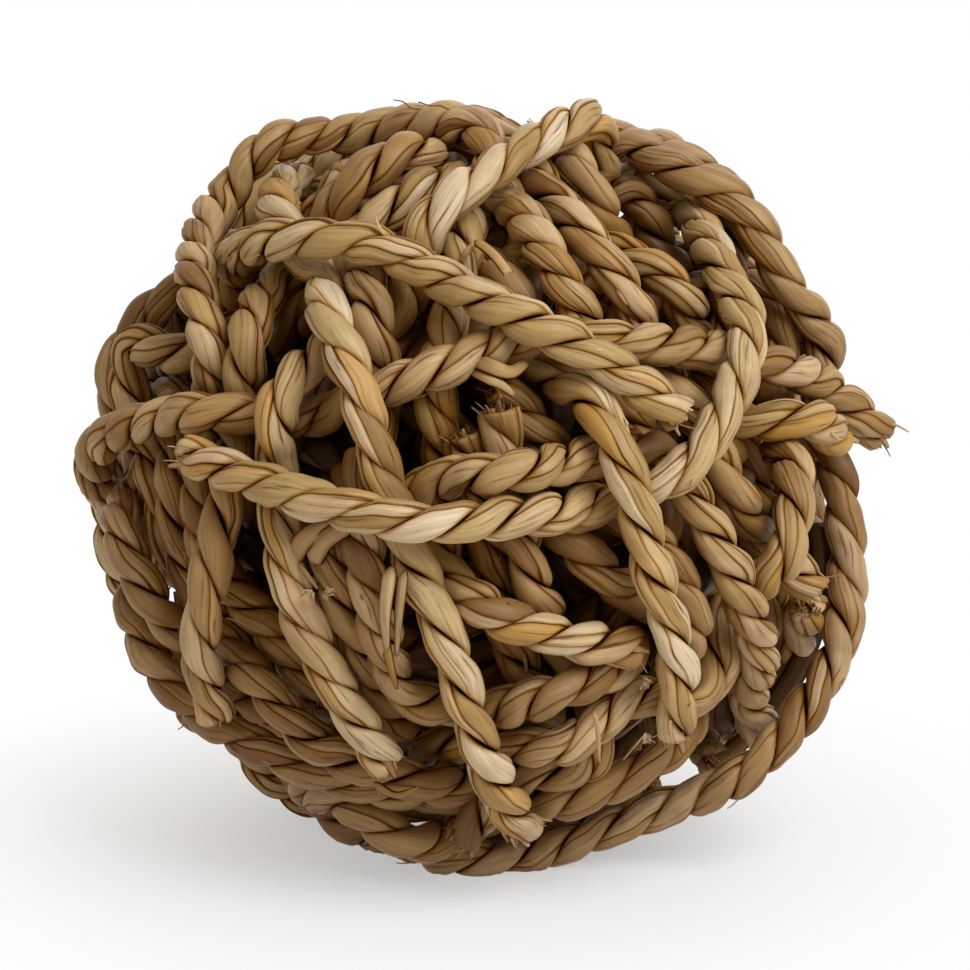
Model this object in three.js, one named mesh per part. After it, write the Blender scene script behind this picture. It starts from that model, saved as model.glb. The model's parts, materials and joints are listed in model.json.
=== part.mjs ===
// A ball toy of twisted seagrass rope. Separate lengths of rope are wound round a rope core and
// threaded over and under each other, and their bare cut ends are left showing.
import * as THREE from 'three';

// Driving dimensions, in millimetres.
const BALL_DIAMETER = 100;
const ROPE_DIAMETER = 4.6;
const ROPE_GAP = 0.42;
const STANDING_FLAT = ROPE_DIAMETER / 10;
const UNDERSIDE_PRESS = 3.6;
const UNDERSIDE_SAG = 2.2;
const ROPE_STEP = 11.4;
const CORE_STEP = 15;

// The front view that the routes are read in: how far off the eye is, and how far it looks down.
const VIEW_DISTANCE = 500;
const VIEW_TILT = THREE.MathUtils.degToRad(12);

// The core: balls of rope wound in leaning loops, one inside the other, under the outer ropes. Each
// has its count of loops, and its diameter as a share of the ball's.
const CORE_LOOPS = [7, 6, 5];
const CORE_SHARES = [0.72, 0.61, 0.5];
const CORE_LEAN = THREE.MathUtils.degToRad(56);
const CORE_TURN = THREE.MathUtils.degToRad(104);
const CORE_TILT = THREE.MathUtils.degToRad(70);

// How the ropes settle against each other.
const SETTLE_PASSES = 420;
const CONTACT_PASSES = 900;
const PASSES_PER_SEARCH = 5;
const HOLD_PLACE = 0.08;
const BEND_EASE = 0.12;
const STRETCH_EASE = 0.25;
const CONTACT_PUSH = 0.42;
const LAYER_PUSH = 0.9;
const LAST_PUSH = 0.5;
const OVERLAP_LEFT = 0.01;
const GRID_CELL = 24;

const TUBE_SIDES = 6;
const CORE_SIDES = 5;
const LINE_SAMPLES = 16;
const ROPE_ROUGHNESS = 0.62;
const STRAW = '#c3a56c';
const TAN = '#b08d55';
const BROWN = '#a07846';
const DARK = '#6b4c2a';

const ballRadius = BALL_DIAMETER / 2;
const ropeRadius = ROPE_DIAMETER / 2;
const ropePitch = ROPE_DIAMETER + ROPE_GAP;
const tubeFlat = ropeRadius * Math.cos(Math.PI / TUBE_SIDES);
const floorHeight = UNDERSIDE_PRESS - ballRadius;
const floorLine = floorHeight + tubeFlat - STANDING_FLAT;
const downward = new THREE.Vector3(0, 0, -1);

// A route's points are picked by eye in the front view. [u, v, layer] is a place across and up from
// the ball's centre in hundredths of its radius, and how many ropes deep the rope lies there.
function shellRadius(layer) {
  return ballRadius - ropeRadius - layer * ropePitch;
}

function onShell([u, v, layer], side) {
  const radius = shellRadius(layer);
  const spread = VIEW_DISTANCE / Math.sqrt(VIEW_DISTANCE ** 2 - ballRadius ** 2);
  const unit = (ballRadius * spread) / 100;
  const eye = new THREE.Vector3(0, -VIEW_DISTANCE, 0);
  const ray = new THREE.Vector3(u * unit, VIEW_DISTANCE, v * unit).normalize();
  const middle = -eye.dot(ray);
  const nearest = eye.clone().addScaledVector(ray, middle);
  const inside = Math.max(0, radius ** 2 - nearest.lengthSq());
  nearest.addScaledVector(ray, side * Math.sqrt(inside));
  return nearest.setLength(radius).applyAxisAngle(new THREE.Vector3(1, 0, 0), -VIEW_TILT);
}

const front = (...picks) => picks.map((pick) => onShell(pick, -1));
const back = (...picks) => picks.map((pick) => onShell(pick, 1));

// The ropes that show, each from one cut end to the other.
const outerRopes = [
  {
    name: 'upper_diagonal_rope', tone: STRAW, route: [
      ...front([54, 17, 0], [48, 21.5, 0], [40, 27.5, 0], [31, 34, 0], [21, 39.5, 0], [10, 45, 0],
        [0, 50.5, 0], [-10, 55, 0], [-20, 59.5, 0], [-30, 63, 0], [-40, 65, 0], [-50, 65, 0],
        [-58, 62.5, 0], [-64, 57, 0.5], [-69, 48, 1.4], [-77, 37, 1.7], [-88, 22, 1.5]),
      ...back([-88, 8, 1], [-66, -8, 0.3], [-34, -17, 0], [0, -20, 0], [34, -17, 0], [62, -9, 0.1]),
    ],
  },
  {
    name: 'front_band_rope', tone: STRAW, route: [
      ...front([-73, 8, 0], [-64, 5.5, 0], [-54, 2.5, 0], [-44, -1, 0], [-34, -5, 0], [-24, -8, 0],
        [-13, -9, 0], [-3, -8.5, 0], [8, -7.5, 0], [18, -6, 0], [27, -5, 0.1], [35, -5, 0.6],
        [43, -4.5, 1.1], [50, -1.5, 0.6], [56, 3, 0.1], [60.5, 10, 0], [64.5, 18, 0], [68.5, 27, 0],
        [70.5, 36, 0], [70, 45, 0], [67.5, 53, 0], [64, 60.5, 0], [58.5, 67, 0.3], [50, 72.5, 1.1],
        [39, 78, 1.7], [24, 85, 1.7]),
      ...back([4, 90, 1.2], [-18, 80, 0.7], [-38, 60, 0.3], [-54, 34, 0.1], [-64, 8, 0.1],
        [-66, -18, 0.3], [-60, -42, 0.5], [-47, -64, 0.6]),
    ],
  },
  {
    name: 'middle_band_rope', tone: TAN, route: [
      ...front([105.5, 14.5, -1], [103.5, 19.5, -0.8], [99, 24, -0.5], [93, 27.5, -0.1], [85.5, 30, 0.1],
        [77, 32, 0.5], [69, 33.5, 1], [61, 34.5, 0.5], [52, 35.5, 0.2], [43, 36.5, 0.2], [34, 37, 0.6],
        [25, 36.5, 1], [16, 34.5, 1], [7, 32, 0.4], [-2, 28.5, 0.2], [-11, 25, 0.3], [-19, 22, 0.7],
        [-28, 20, 1.2], [-38, 19, 1.2], [-47, 19.5, 1], [-56, 21.5, 0.8], [-65, 23, 0.1], [-74, 23, 0],
        [-82, 20.5, 0], [-89, 16.5, 0], [-95, 11.5, 0]),
      ...back([-96, 2, 0.1], [-84, -8, 0.3], [-62, -24, 0.5], [-36, -38, 0.4], [-8, -49, 0.1],
        [20, -56, 0.1], [46, -58, 0.3], [68, -54, 0.5], [85, -43, 0.7]),
      ...front([92, -36, 0.6], [87, -30, 0.1]),
    ],
  },
  {
    name: 'long_diagonal_rope', tone: STRAW, route: [
      ...front([12, -87, 0], [8, -82, 0], [4.5, -74, 0], [2, -66, 0], [-0.5, -58, 0], [-3, -50, 0],
        [-5.5, -41, 0], [-8, -32, 0], [-10, -24, 0.1], [-12.5, -16, 0.6], [-13, -8, 1.1], [-14, 1, 0.6],
        [-18, 9, 0.1], [-22.5, 17, 0], [-26.5, 25, 0], [-30.5, 33, 0], [-35, 41, 0], [-40, 49, 0.1],
        [-43.5, 57, 0.5], [-45.5, 65, 1.1], [-47.5, 73, 0.6], [-52, 80, 0.6]),
      ...back([-56, 80, 0.9], [-38, 76, 0.6], [-15, 67, 0.2], [9, 55, 0], [31, 38, 0], [49, 17, 0.1],
        [61, -6, 0.4], [65, -30, 0.6], [60, -52, 0.5], [49, -67, 0.5]),
    ],
  },
  {
    name: 'right_vertical_rope', tone: STRAW, route: [
      ...front([51.5, -62, 0], [51.5, -55, 0], [51, -48, 0], [49.5, -41, 0], [48, -32, 0], [46.5, -23, 0],
        [44.5, -14, 0], [42, -5, 0], [38.5, 4, 0], [34.5, 12, 0.1], [30, 20, 0.5], [25, 28, 1.1],
        [17, 38, 1.6], [7, 49, 1.9], [-5, 60, 2], [-18, 71, 2], [-31, 81, 1.6]),
      ...back([-42, 80, 0.9], [-54, 66, 0.4], [-66, 46, 0.1], [-75, 22, 0], [-78, -4, 0], [-74, -30, 0.2],
        [-63, -52, 0.4], [-48, -69, 0.5]),
    ],
  },
  {
    name: 'right_rim_rope', tone: BROWN, route: [
      ...front([17, 83, 1.4], [22, 83.5, 1.1], [28, 83.5, 0.8], [34.5, 83.5, 0.5], [41, 82, 0.2],
        [49, 79.5, 0], [57, 75.5, -0.1], [63.5, 71, -0.2], [70, 65.5, -0.2], [76.5, 59, -0.3], [82.5, 52, -0.4],
        [88.5, 45.5, -0.5], [92, 36.5, -0.3], [94.5, 27, 0.4], [96, 17, 0.6], [97, 7, 0.1], [97.5, -3, -0.1],
        [97.5, -13, -0.2], [96.5, -22, -0.25], [94.5, -31, -0.3], [90.5, -39, -0.35], [86, -47, -0.4],
        [82.5, -56, -0.55], [78.5, -64.5, -0.75], [73, -71.5, -0.8], [66, -77, -0.75], [57, -81.5, -0.45],
        [47, -84.5, -0.1], [37, -87.5, 0], [28, -91, 0], [18, -93.5, 0], [7, -94.5, 0], [-5, -93.5, 0]),
      ...back([-22, -89, 0.2], [-43, -74, 0.8], [-60, -52, 1], [-70, -26, 1], [-72, 2, 0.9],
        [-65, 30, 0.8], [-49, 54, 0.7], [-30, 71, 0.5]),
    ],
  },
  {
    name: 'left_rim_rope', tone: TAN, route: [
      ...front([-42, -54, 1.5], [-48, -50, 1.2], [-54, -45, 1], [-59, -37, 1.2], [-65, -28, 1.5],
        [-70, -19, 1.3], [-73, -11, 0.9], [-74, -3, 0.9], [-73, 6, 1.3], [-70, 15, 1.5], [-67, 23, 1.2],
        [-66, 31, 0.4], [-67, 39, 0], [-67.5, 47, 0], [-67.5, 55, 0], [-66.5, 63, 0], [-65, 71, -0.1],
        [-63, 79, -0.4], [-57, 85.5, -0.7], [-50, 89.5, -0.75], [-42, 91, -0.5], [-33, 91.5, -0.1],
        [-24, 92, 0], [-15, 93, 0], [-7, 93, 0], [0, 91.5, 0], [5, 88, 0.3], [9, 82, 0.8], [12.5, 75, 0.4],
        [16, 67.5, 0], [19.5, 60.5, 0], [23.5, 53.5, 0], [27.5, 47, 0.1], [32, 41, 0.5], [36, 33, 1.2],
        [40, 23, 1.6], [45, 12, 1.8]),
    ],
  },
  {
    name: 'over_the_top_rope', tone: TAN, route: [
      ...back([22, -46, 0.9], [3, -23, 0.9], [-12, 3, 0.8], [-22, 29, 0.7], [-27, 53, 0.5],
        [-22, 72, 0.5], [-10, 86, 0.8]),
      ...front([0, 90, 1.1], [8, 89.5, 1.2], [15, 86, 1.6], [20, 80, 2]),
    ],
  },
  {
    name: 'left_outer_rope', tone: BROWN, route: [
      ...front([-50, 76, 1.9], [-60, 71, 1.8], [-68, 66, 1.4], [-75, 60, 0.8], [-81, 53, 0.2],
        [-86, 46, 0], [-90, 38, 0], [-92.5, 30, 0.1], [-95, 22, 0.7], [-97, 12, 0.9], [-97, 2, 0.2],
        [-96, -8, 0], [-94, -18, 0], [-91, -28, 0], [-87, -37, 0], [-82, -45.5, 0], [-77, -52.5, 0],
        [-71, -58.5, 0], [-64, -63.5, 0], [-56.5, -67.5, 0], [-49, -71, 0], [-41, -74, 0],
        [-33, -77, 0.2], [-24, -79, 0.6], [-14, -80, 1], [-4, -80.5, 1.3], [6, -81, 1.1],
        [15, -82.5, 0.4], [24, -82, 0.1], [33, -79.5, 0], [42, -75.5, 0], [50, -70.5, 0.1],
        [57, -65, 0.3], [63, -58, 0.8], [68, -50, 1.2], [72, -42, 1.4]),
    ],
  },
  {
    name: 'left_second_rope', tone: BROWN, route: [
      ...front([-32, -75, 1.5], [-42, -70, 1.3], [-52, -63, 1.3], [-62, -55, 1.3], [-70, -47.5, 1],
        [-76.5, -41, 0.4], [-82, -34, 0], [-86, -26, 0], [-89, -17, 0], [-91, -8, 0], [-93, 1, 0.4],
        [-94, 10, 1.2]),
      ...back([-92, 20, 0.7], [-78, 36, 0.3], [-57, 51, 0.1], [-32, 60, 0], [-5, 63, 0.1], [22, 60, 0.2],
        [47, 52, 0.2], [69, 38, 0.1], [84, 21, 0], [91, 6, 0]),
    ],
  },
  {
    name: 'left_inner_rope', tone: TAN, route: [
      ...front([-79, -20, 1.3], [-81, -12, 0.8], [-83.5, -4, 0.5], [-85.5, 4, 0.5], [-88, 13, 1.1],
        [-89.5, 22, 0.8], [-87, 29, 0.4], [-81, 33, 0.5], [-73, 36, 1.2], [-64, 42, 1.5], [-55, 51, 1.6],
        [-48, 61, 1.6], [-43.5, 70, 0.9], [-40, 76.5, 0.4], [-35, 82, 0.5], [-27, 86.5, 1]),
      ...back([-8, 90, 1], [8, 78, 0.6], [23, 61, 0.3], [36, 40, 0.2], [45, 16, 0], [49, -10, 0],
        [47, -36, 0.1], [40, -57, 0.3], [31, -69, 0.7]),
    ],
  },
  {
    name: 'crossing_rope', tone: STRAW, route: [
      ...front([40, 84, 0.8], [36.5, 88.5, 0.2], [31.5, 90.5, -0.1], [25, 90.5, -0.1],
        [18.5, 89, 0], [12.5, 86.5, 0], [6.5, 83.5, 0], [1, 77.5, 0], [-4, 71, 0], [-9, 64, 0.5],
        [-15, 57, 1.1], [-22, 50, 1.1], [-29, 44, 1.1], [-36, 39, 0.9], [-42.5, 33, 0.3], [-47, 26, 0.1],
        [-50.5, 18, 0], [-53.5, 10, 0.5], [-57, 2, 1.1], [-57, -6.5, 0.5], [-54.5, -14.5, 0],
        [-50.5, -23, 0], [-46.5, -31.5, 0], [-42.5, -40, 0], [-38, -48, 0], [-33.5, -56, 0],
        [-29, -63, 0], [-24.5, -69.5, 0], [-20, -75, 0.1]),
    ],
  },
  {
    name: 'shoulder_rope', tone: TAN, route: [
      ...front([52, 64, 1.6], [45, 68.5, 1.2], [38, 71.5, 1], [31, 75, 0.9], [24, 78.5, 1.1],
        [15, 81.5, 1.4], [6, 84.5, 1.5], [-3, 87, 0.8], [-9, 86.5, 0.2], [-15, 84.5, 0], [-21, 81, 0],
        [-27, 76.5, 0.1], [-32, 70.5, 0.5], [-37, 64.5, 1.2], [-46, 60, 1.4], [-54, 54, 0.8],
        [-57, 46, 0.4], [-59, 38, 0.2], [-60.5, 30, 0.5], [-61, 21, 1.2], [-60.5, 12, 1.1], [-62, 3, 1.1],
        [-64.5, -6, 0.3], [-66.5, -14, 0], [-68, -22, 0], [-68.5, -30.5, 0], [-69, -39, 0],
        [-69.5, -47, 0], [-68.5, -53, 0], [-66, -58, 0]),
    ],
  },
  {
    name: 'parallel_rope', tone: TAN, route: [
      ...front([88, -27, 0], [82, -25, 0.5], [78, -18, 1], [74.5, -10, 0.7], [70, -3.5, 0.5],
        [65.5, 3, 0.8], [62, 11, 1.2], [59, 20, 1.3], [56, 28, 1.1], [53, 35.5, 1], [49, 42.5, 0.4],
        [44.5, 49, 0.1], [40, 55.5, 0], [35, 62, 0], [29.5, 67.5, 0], [23.5, 73, 0.1], [17, 78, 0.4],
        [9.5, 84, 1.1], [0, 89, 1.5]),
      ...back([-14, 86, 1], [-32, 70, 0.8], [-45, 48, 0.5], [-51, 22, 0.3], [-49, -5, 0.2],
        [-41, -30, 0.2], [-30, -52, 0.3], [-18, -66, 0.5]),
    ],
  },
  {
    name: 'second_band_rope', tone: TAN, route: [
      ...front([72, -62, 0.1], [73.5, -54, 0], [73.5, -46, 0], [72.5, -38, 0], [69.5, -30, 0],
        [66.5, -22, 0], [63, -14, 0], [59.5, -6, 0.4], [57.5, 2, 1.1], [53, 9, 0.9], [47, 12, 0.8],
        [40.5, 12, 1.1], [34, 10.5, 1], [27, 9.5, 0.5], [19, 7.5, 0.3], [10, 5, 0.3], [1, 3, 0.4],
        [-8, 0.5, 1.2], [-15, -3, 2], [-23, -9, 1.9], [-31, -13.5, 0.9], [-38.5, -15, 0.4],
        [-45, -18.5, 0.6]),
    ],
  },
  {
    name: 'right_inner_rope', tone: TAN, route: [
      ...front([54, 74, 1.7], [63, 67, 1.3], [69.5, 60.5, 0.7], [74, 54, 0.6], [77, 46.5, 0.6],
        [77.5, 39, 0.8], [77.5, 31, 1.3], [79, 22, 1.2], [81, 14, 0.7], [82, 6, 0.3], [82, -2, 0.1],
        [81, -10, 0], [78, -18, 0.1], [73.5, -25, 0.7], [68, -31, 1.2], [64, -37, 0.7], [61, -43, 0.6],
        [55, -48.5, 1], [47, -52.5, 1], [40, -55, 0.5], [33, -58.5, 0.4], [26, -63.5, 0.4],
        [19, -69, 0.4], [11, -72.5, 0.8], [2, -74, 1.3], [-7, -76, 1.4]),
    ],
  },
  {
    name: 'lower_band_rope', tone: STRAW, route: [
      ...front([43, -41.5, 0.3], [36, -40.5, 0.2], [27, -41, 0.1], [18, -38.5, 0.1], [10, -35, 0.1],
        [2.5, -31.5, 0.3], [-5, -28.5, 0.9], [-12, -23.5, 1.5], [-15.5, -14, 1.8], [-14.5, -3, 1.8],
        [-12, 6, 1.5], [-10.5, 14, 1], [-10.5, 21.5, 1.2], [-9, 29, 1], [-7.5, 37, 0.8], [-8, 45, 1.2],
        [-8, 54, 1.6], [-2, 64, 1.8], [8, 74, 1.9], [20, 86, 1.5]),
      ...back([36, 80, 0.9], [54, 63, 0.6], [67, 41, 0.4], [74, 16, 0.3], [74, -11, 0.3], [66, -36, 0.3],
        [52, -58, 0.3], [34, -75, 0.1], [15, -83, -0.1], [-6, -85, -0.2], [-28, -82, 0]),
    ],
  },
  {
    name: 'inner_vertical_rope', tone: BROWN, route: [
      ...front([50, -41, 1.7], [42, -44, 1.4], [34, -45.5, 0.8], [27, -48, 0.5], [19, -51, 0.4],
        [11, -54.5, 0.4], [3, -58, 0.9], [-6, -60, 1.3], [-14, -58, 0.8], [-19, -52.5, 0.4],
        [-22.5, -45, 0.3], [-25, -37, 0.3], [-25, -28.5, 0.4], [-24, -20, 0.7], [-25, -11, 1.4],
        [-29, -1, 1.6], [-34, 9, 1.5], [-35.5, 18, 1.7], [-32, 27, 1.5], [-28, 35, 0.9], [-25.5, 43, 0.6],
        [-24, 50, 0.7], [-22, 57, 1.1], [-18, 63, 0.7], [-14, 68, 0.6], [-9, 73.5, 1.1], [-2, 79, 1.7]),
      ...back([2, 86, 1.3], [-10, 68, 1], [-20, 44, 0.7], [-26, 17, 0.5], [-26, -11, 0.4],
        [-20, -38, 0.3], [-8, -60, 0.4], [10, -76, 0.5], [30, -82, 0.4], [47, -78, 0.3]),
    ],
  },
  {
    name: 'short_stub_rope', tone: BROWN, route: [
      ...front([7.5, 16, 0.7], [9.5, 9.5, 1.2], [12, 2, 1.4], [13.5, -6, 1.4], [14.5, -14, 0.7],
        [15.5, -22, 0.5], [17, -29.5, 0.9], [20, -38, 1.4], [26, -46, 1.6], [34, -53, 1.5],
        [40, -60, 1.3], [38, -67, 0.8], [31, -71.5, 0.5], [23, -74.5, 0.3], [15, -76.5, 0.4],
        [8, -77, 0.9], [-1, -77, 1.4]),
    ],
  },
  {
    name: 'frayed_short_rope', tone: BROWN, route: [
      ...front([9, 27.5, 1], [14.5, 24, 0.7], [20, 19.5, 0.6], [25.5, 14.5, 0.7], [30.5, 8.5, 1.1],
        [35, 1, 1.5], [41, -6, 1.5], [47, -12, 1.4], [51.5, -19, 0.9], [54.5, -26, 0.7], [57, -33, 0.7],
        [57.5, -40, 0.8], [54, -47, 1.4]),
    ],
  },
  {
    name: 'deep_right_rope', tone: BROWN, route: [
      ...front([-2, 4, 1.9], [6, -4, 1.8], [13, -10, 1.4], [20, -13, 0.9], [27, -17, 0.7], [33, -22, 0.7],
        [39, -27, 1], [46, -33, 1.4], [54, -40, 1.4], [63, -46, 1.4], [72, -50, 1.3], [80, -49, 0.8],
        [86.5, -45, 0.5], [90, -39, 0.6]),
      ...back([92, -26, 0.6], [87, -6, 0.3], [76, 15, 0], [60, 33, 0], [40, 46, 0.1], [16, 53, 0.3],
        [-10, 53, 0.3], [-36, 45, 0.2], [-58, 31, 0.1], [-76, 13, 0.1], [-86, -8, 0.3]),
    ],
  },
  {
    name: 'right_end_rope', tone: STRAW, route: [
      ...front([92.5, 14, 0], [87, 15.5, 0.1], [80.5, 16, 0.2], [74, 15, 0.5], [68, 16, 1.2],
        [65, 24, 1.5], [64.5, 33, 1.5], [62, 42, 1.1], [57.5, 49, 0.6], [51.5, 55, 0.5], [45, 59.5, 0.6],
        [38, 64, 1], [30, 70.5, 1.4], [21, 77.5, 1.6], [11, 86, 1.6]),
      ...back([-8, 90, 0.7], [-34, 81, 0.4], [-57, 67, 0.2], [-76, 47, 0.1], [-88, 23, 0], [-92, -2, 0.1],
        [-88, -24, 0.3], [-76, -46, 0.3], [-57, -66, 0.2], [-34, -82, 0.1]),
    ],
  },
  {
    name: 'right_deep_rim_rope', tone: DARK, route: [
      ...front([9, 83, 1.6], [17, 83.5, 0.9], [25, 82, 0.8],
        [33, 79, 0.9], [41, 78, 0.9], [49, 75.5, 0.9], [57, 70.5, 1.1], [65, 63, 1.1], [74, 53.5, 1],
        [81, 44.5, 0.7], [86, 38, 0.6], [89.5, 30, 1], [91.5, 20, 1.4], [92, 10, 1], [92, 0, 0.8],
        [92, -10, 0.7], [92, -20, 0.8], [90, -29.5, 0.8], [87, -38, 0.7], [83, -46, 0.5], [79, -54, 0.4],
        [73.5, -61.5, 0.4], [67, -67.5, 0.4]),
    ],
  },
  {
    name: 'lower_left_rope', tone: BROWN, route: [
      ...front([2, -79, 1.7], [-5, -75, 0.9], [-11, -71.5, 0.6], [-17.5, -69, 0.7], [-25, -70, 1.1],
        [-33, -69, 0.8], [-41, -65, 0.5], [-48, -59.5, 0.4], [-54, -53, 0.4], [-60, -46, 0.6],
        [-66, -37.5, 1.2], [-72, -28, 1.4], [-76.5, -18, 1.2], [-78.5, -8, 1], [-79, 2, 0.9],
        [-79, 11, 0.8], [-78.5, 20, 1.2], [-79, 29, 1.5], [-81.5, 38, 1], [-81, 46, 0.6], [-76, 54, 1.1],
        [-69, 63, 1.5]),
      ...back([-62, 67, 0.9], [-44, 51, 0.9], [-22, 30, 0.8], [1, 8, 0.7], [22, -16, 0.6], [40, -39, 0.5],
        [54, -59, 0.4], [64, -70, 0.3]),
    ],
  },
  {
    name: 'bottom_left_rope', tone: BROWN, route: [
      ...front([9, -87, 1.2], [2, -86, 0.7], [-6, -87, 0.2], [-14, -87, 0.1], [-22, -85.5, 0],
        [-29.5, -83, 0.2], [-36, -79, 0.6], [-41, -73, 1.1]),
      ...back([-44, -66, 1.1], [-48, -52, 0.6], [-46, -31, 0], [-36, -6, 0], [-22, 19, 0], [-4, 42, 0.1],
        [16, 61, 0.2], [31, 75, 0.3], [40, 84, 0], [45.5, 88, -0.2], [50.5, 87.5, -0.2], [55, 83, 0.1]),
      ...front([59, 77, 0.6], [65, 70, 0.6], [71, 61, 1], [76, 50, 1.5], [80, 39, 1.8], [82, 28, 2.1],
        [82, 18, 2.2], [80, 8, 2], [79, -2, 1.9], [80, -12, 1.9], [82, -22, 1.7], [82, -32, 1.5],
        [79, -42, 1.4]),
    ],
  },
  {
    name: 'left_vertical_rope', tone: BROWN, route: [
      ...front([-27, 2, 1.8], [-30, -6, 1.6], [-32, -14, 1.1], [-33.5, -23, 0.8], [-33.5, -31, 0.7],
        [-32.5, -39, 0.7], [-29.5, -47, 1], [-25, -55, 1.5], [-18, -63, 1.7]),
    ],
  },
  {
    name: 'hidden_vertical_rope', tone: BROWN, route: [
      ...front([0, 12, 1.3], [-1.5, 4, 1.6], [-3, -5, 1.6], [-3, -13, 1.1], [-0.5, -20.5, 0.9],
        [3, -28, 1.2], [6, -37, 1.4], [8, -46, 1.3], [9, -55, 1], [14, -62, 0.8], [20, -68, 1.4]),
    ],
  },
  {
    name: 'upper_inner_rope', tone: STRAW, route: [
      ...front([-38, 57, 1.6], [-33, 63, 1.2], [-27, 68.5, 0.7], [-21, 72.5, 0.5], [-15, 75, 0.7],
        [-8, 76.5, 1.3], [0, 75, 1.7], [8, 69, 1.9]),
    ],
  },
  {
    name: 'back_diagonal_rope', tone: STRAW, route: [
      ...back([-40, 12, 0], [-18, 4, 0.3], [6, -4, 0.3], [30, -6, 0.2], [54, 2, 0.1], [74, 15, 0.4],
        [88, 30, 0.7]),
    ],
  },
  {
    name: 'back_short_rope', tone: TAN, route: [
      ...back([-80, -38, 0], [-62, -33, 0.2], [-40, -22, 0.4], [-18, -14, 0.5], [4, -10, 0.9],
        [24, 2, 1.1], [40, 20, 1]),
    ],
  },
  {
    name: 'back_lower_rope', tone: BROWN, route: [
      ...back([-70, -58, 0.1], [-50, -62, 0], [-26, -66, 0], [0, -70, 0.1], [26, -68, 0.1],
        [50, -58, 0.5], [70, -44, 0.8], [84, -28, 0.8]),
    ],
  },
];

// One core winding: loops that lean on an axis and turn round it by the same angle each time, as
// twine is wound into a ball.
function coreRoute(diameter, count, tilt) {
  const points = [];
  const steps = count * LINE_SAMPLES;
  for (let step = 0; step <= steps; step += 1) {
    const loops = (step / steps) * count;
    const around = loops * 2 * Math.PI;
    const point = new THREE.Vector3(Math.cos(around), Math.sin(around), 0);
    point.applyAxisAngle(new THREE.Vector3(1, 0, 0), CORE_LEAN);
    point.applyAxisAngle(new THREE.Vector3(0, 0, 1), loops * CORE_TURN);
    point.applyAxisAngle(new THREE.Vector3(1, 0, 0), tilt);
    points.push(point.multiplyScalar((diameter - ROPE_DIAMETER) / 2));
  }
  return points;
}

const coreRopes = CORE_SHARES.map((share, index) => ({
  name: `core_rope_${index + 1}`,
  tone: DARK,
  step: CORE_STEP,
  sides: CORE_SIDES,
  route: coreRoute(BALL_DIAMETER * share, CORE_LOOPS[index], index * CORE_TILT),
}));

// A smooth line through a route's points, in steps of one length. It bends round the ball between
// the points, because the way out from the centre and the distance from it are eased apart.
function steppedLine({ route, step = ROPE_STEP }) {
  const directions = new THREE.CatmullRomCurve3(route.map((point) => point.clone().normalize()));
  const spans = route.length - 1;
  const fine = [];
  const samples = spans * LINE_SAMPLES;
  for (let sample = 0; sample <= samples; sample += 1) {
    const at = (sample / samples) * spans;
    const span = Math.min(Math.floor(at), spans - 1);
    const ease = THREE.MathUtils.smoothstep(at - span, 0, 1);
    const radius = THREE.MathUtils.lerp(route[span].length(), route[span + 1].length(), ease);
    fine.push(directions.getPoint(sample / samples).setLength(radius));
  }
  const line = new THREE.CatmullRomCurve3(fine);
  line.arcLengthDivisions = samples * 2;
  return line.getSpacedPoints(Math.max(4, Math.round(line.getLength() / step)));
}

// The closest points of two straight stretches of rope, as shares along each.
function closestShares(a, b, c, d) {
  const along = new THREE.Vector3().subVectors(b, a);
  const across = new THREE.Vector3().subVectors(d, c);
  const between = new THREE.Vector3().subVectors(a, c);
  const aa = along.lengthSq();
  const cc = across.lengthSq();
  const ac = along.dot(across);
  const ab = along.dot(between);
  const cb = across.dot(between);
  const spread = aa * cc - ac * ac;
  const clamp = (value) => Math.min(1, Math.max(0, value));
  let s = spread > 1e-9 ? clamp((ac * cb - ab * cc) / spread) : 0;
  let t = (ac * s + cb) / cc;
  if (t < 0 || t > 1) {
    t = clamp(t);
    s = clamp((ac * t - ab) / aa);
  }
  return [s, t];
}

// Every two stretches of rope that lie near each other, neighbours along one rope left out.
function nearPairs(lines, homes) {
  const cells = new Map();
  const stretches = [];
  lines.forEach((points, rope) => {
    for (let index = 0; index + 1 < points.length; index += 1) {
      const out = homes[rope][index].length();
      stretches.push({ rope, index, out, a: points[index], b: points[index + 1] });
    }
  });
  const pairs = [];
  stretches.forEach((stretch) => {
    const at = stretch.a.clone().add(stretch.b).multiplyScalar(0.5 / GRID_CELL).floor();
    for (let x = -1; x <= 1; x += 1) {
      for (let y = -1; y <= 1; y += 1) {
        for (let z = -1; z <= 1; z += 1) {
          for (const other of cells.get(`${at.x + x},${at.y + y},${at.z + z}`) ?? []) {
            if (other.rope !== stretch.rope || Math.abs(other.index - stretch.index) > 2) {
              pairs.push([stretch, other]);
            }
          }
        }
      }
    }
    const key = `${at.x},${at.y},${at.z}`;
    if (!cells.has(key)) {
      cells.set(key, []);
    }
    cells.get(key).push(stretch);
  });
  return pairs;
}

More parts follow.
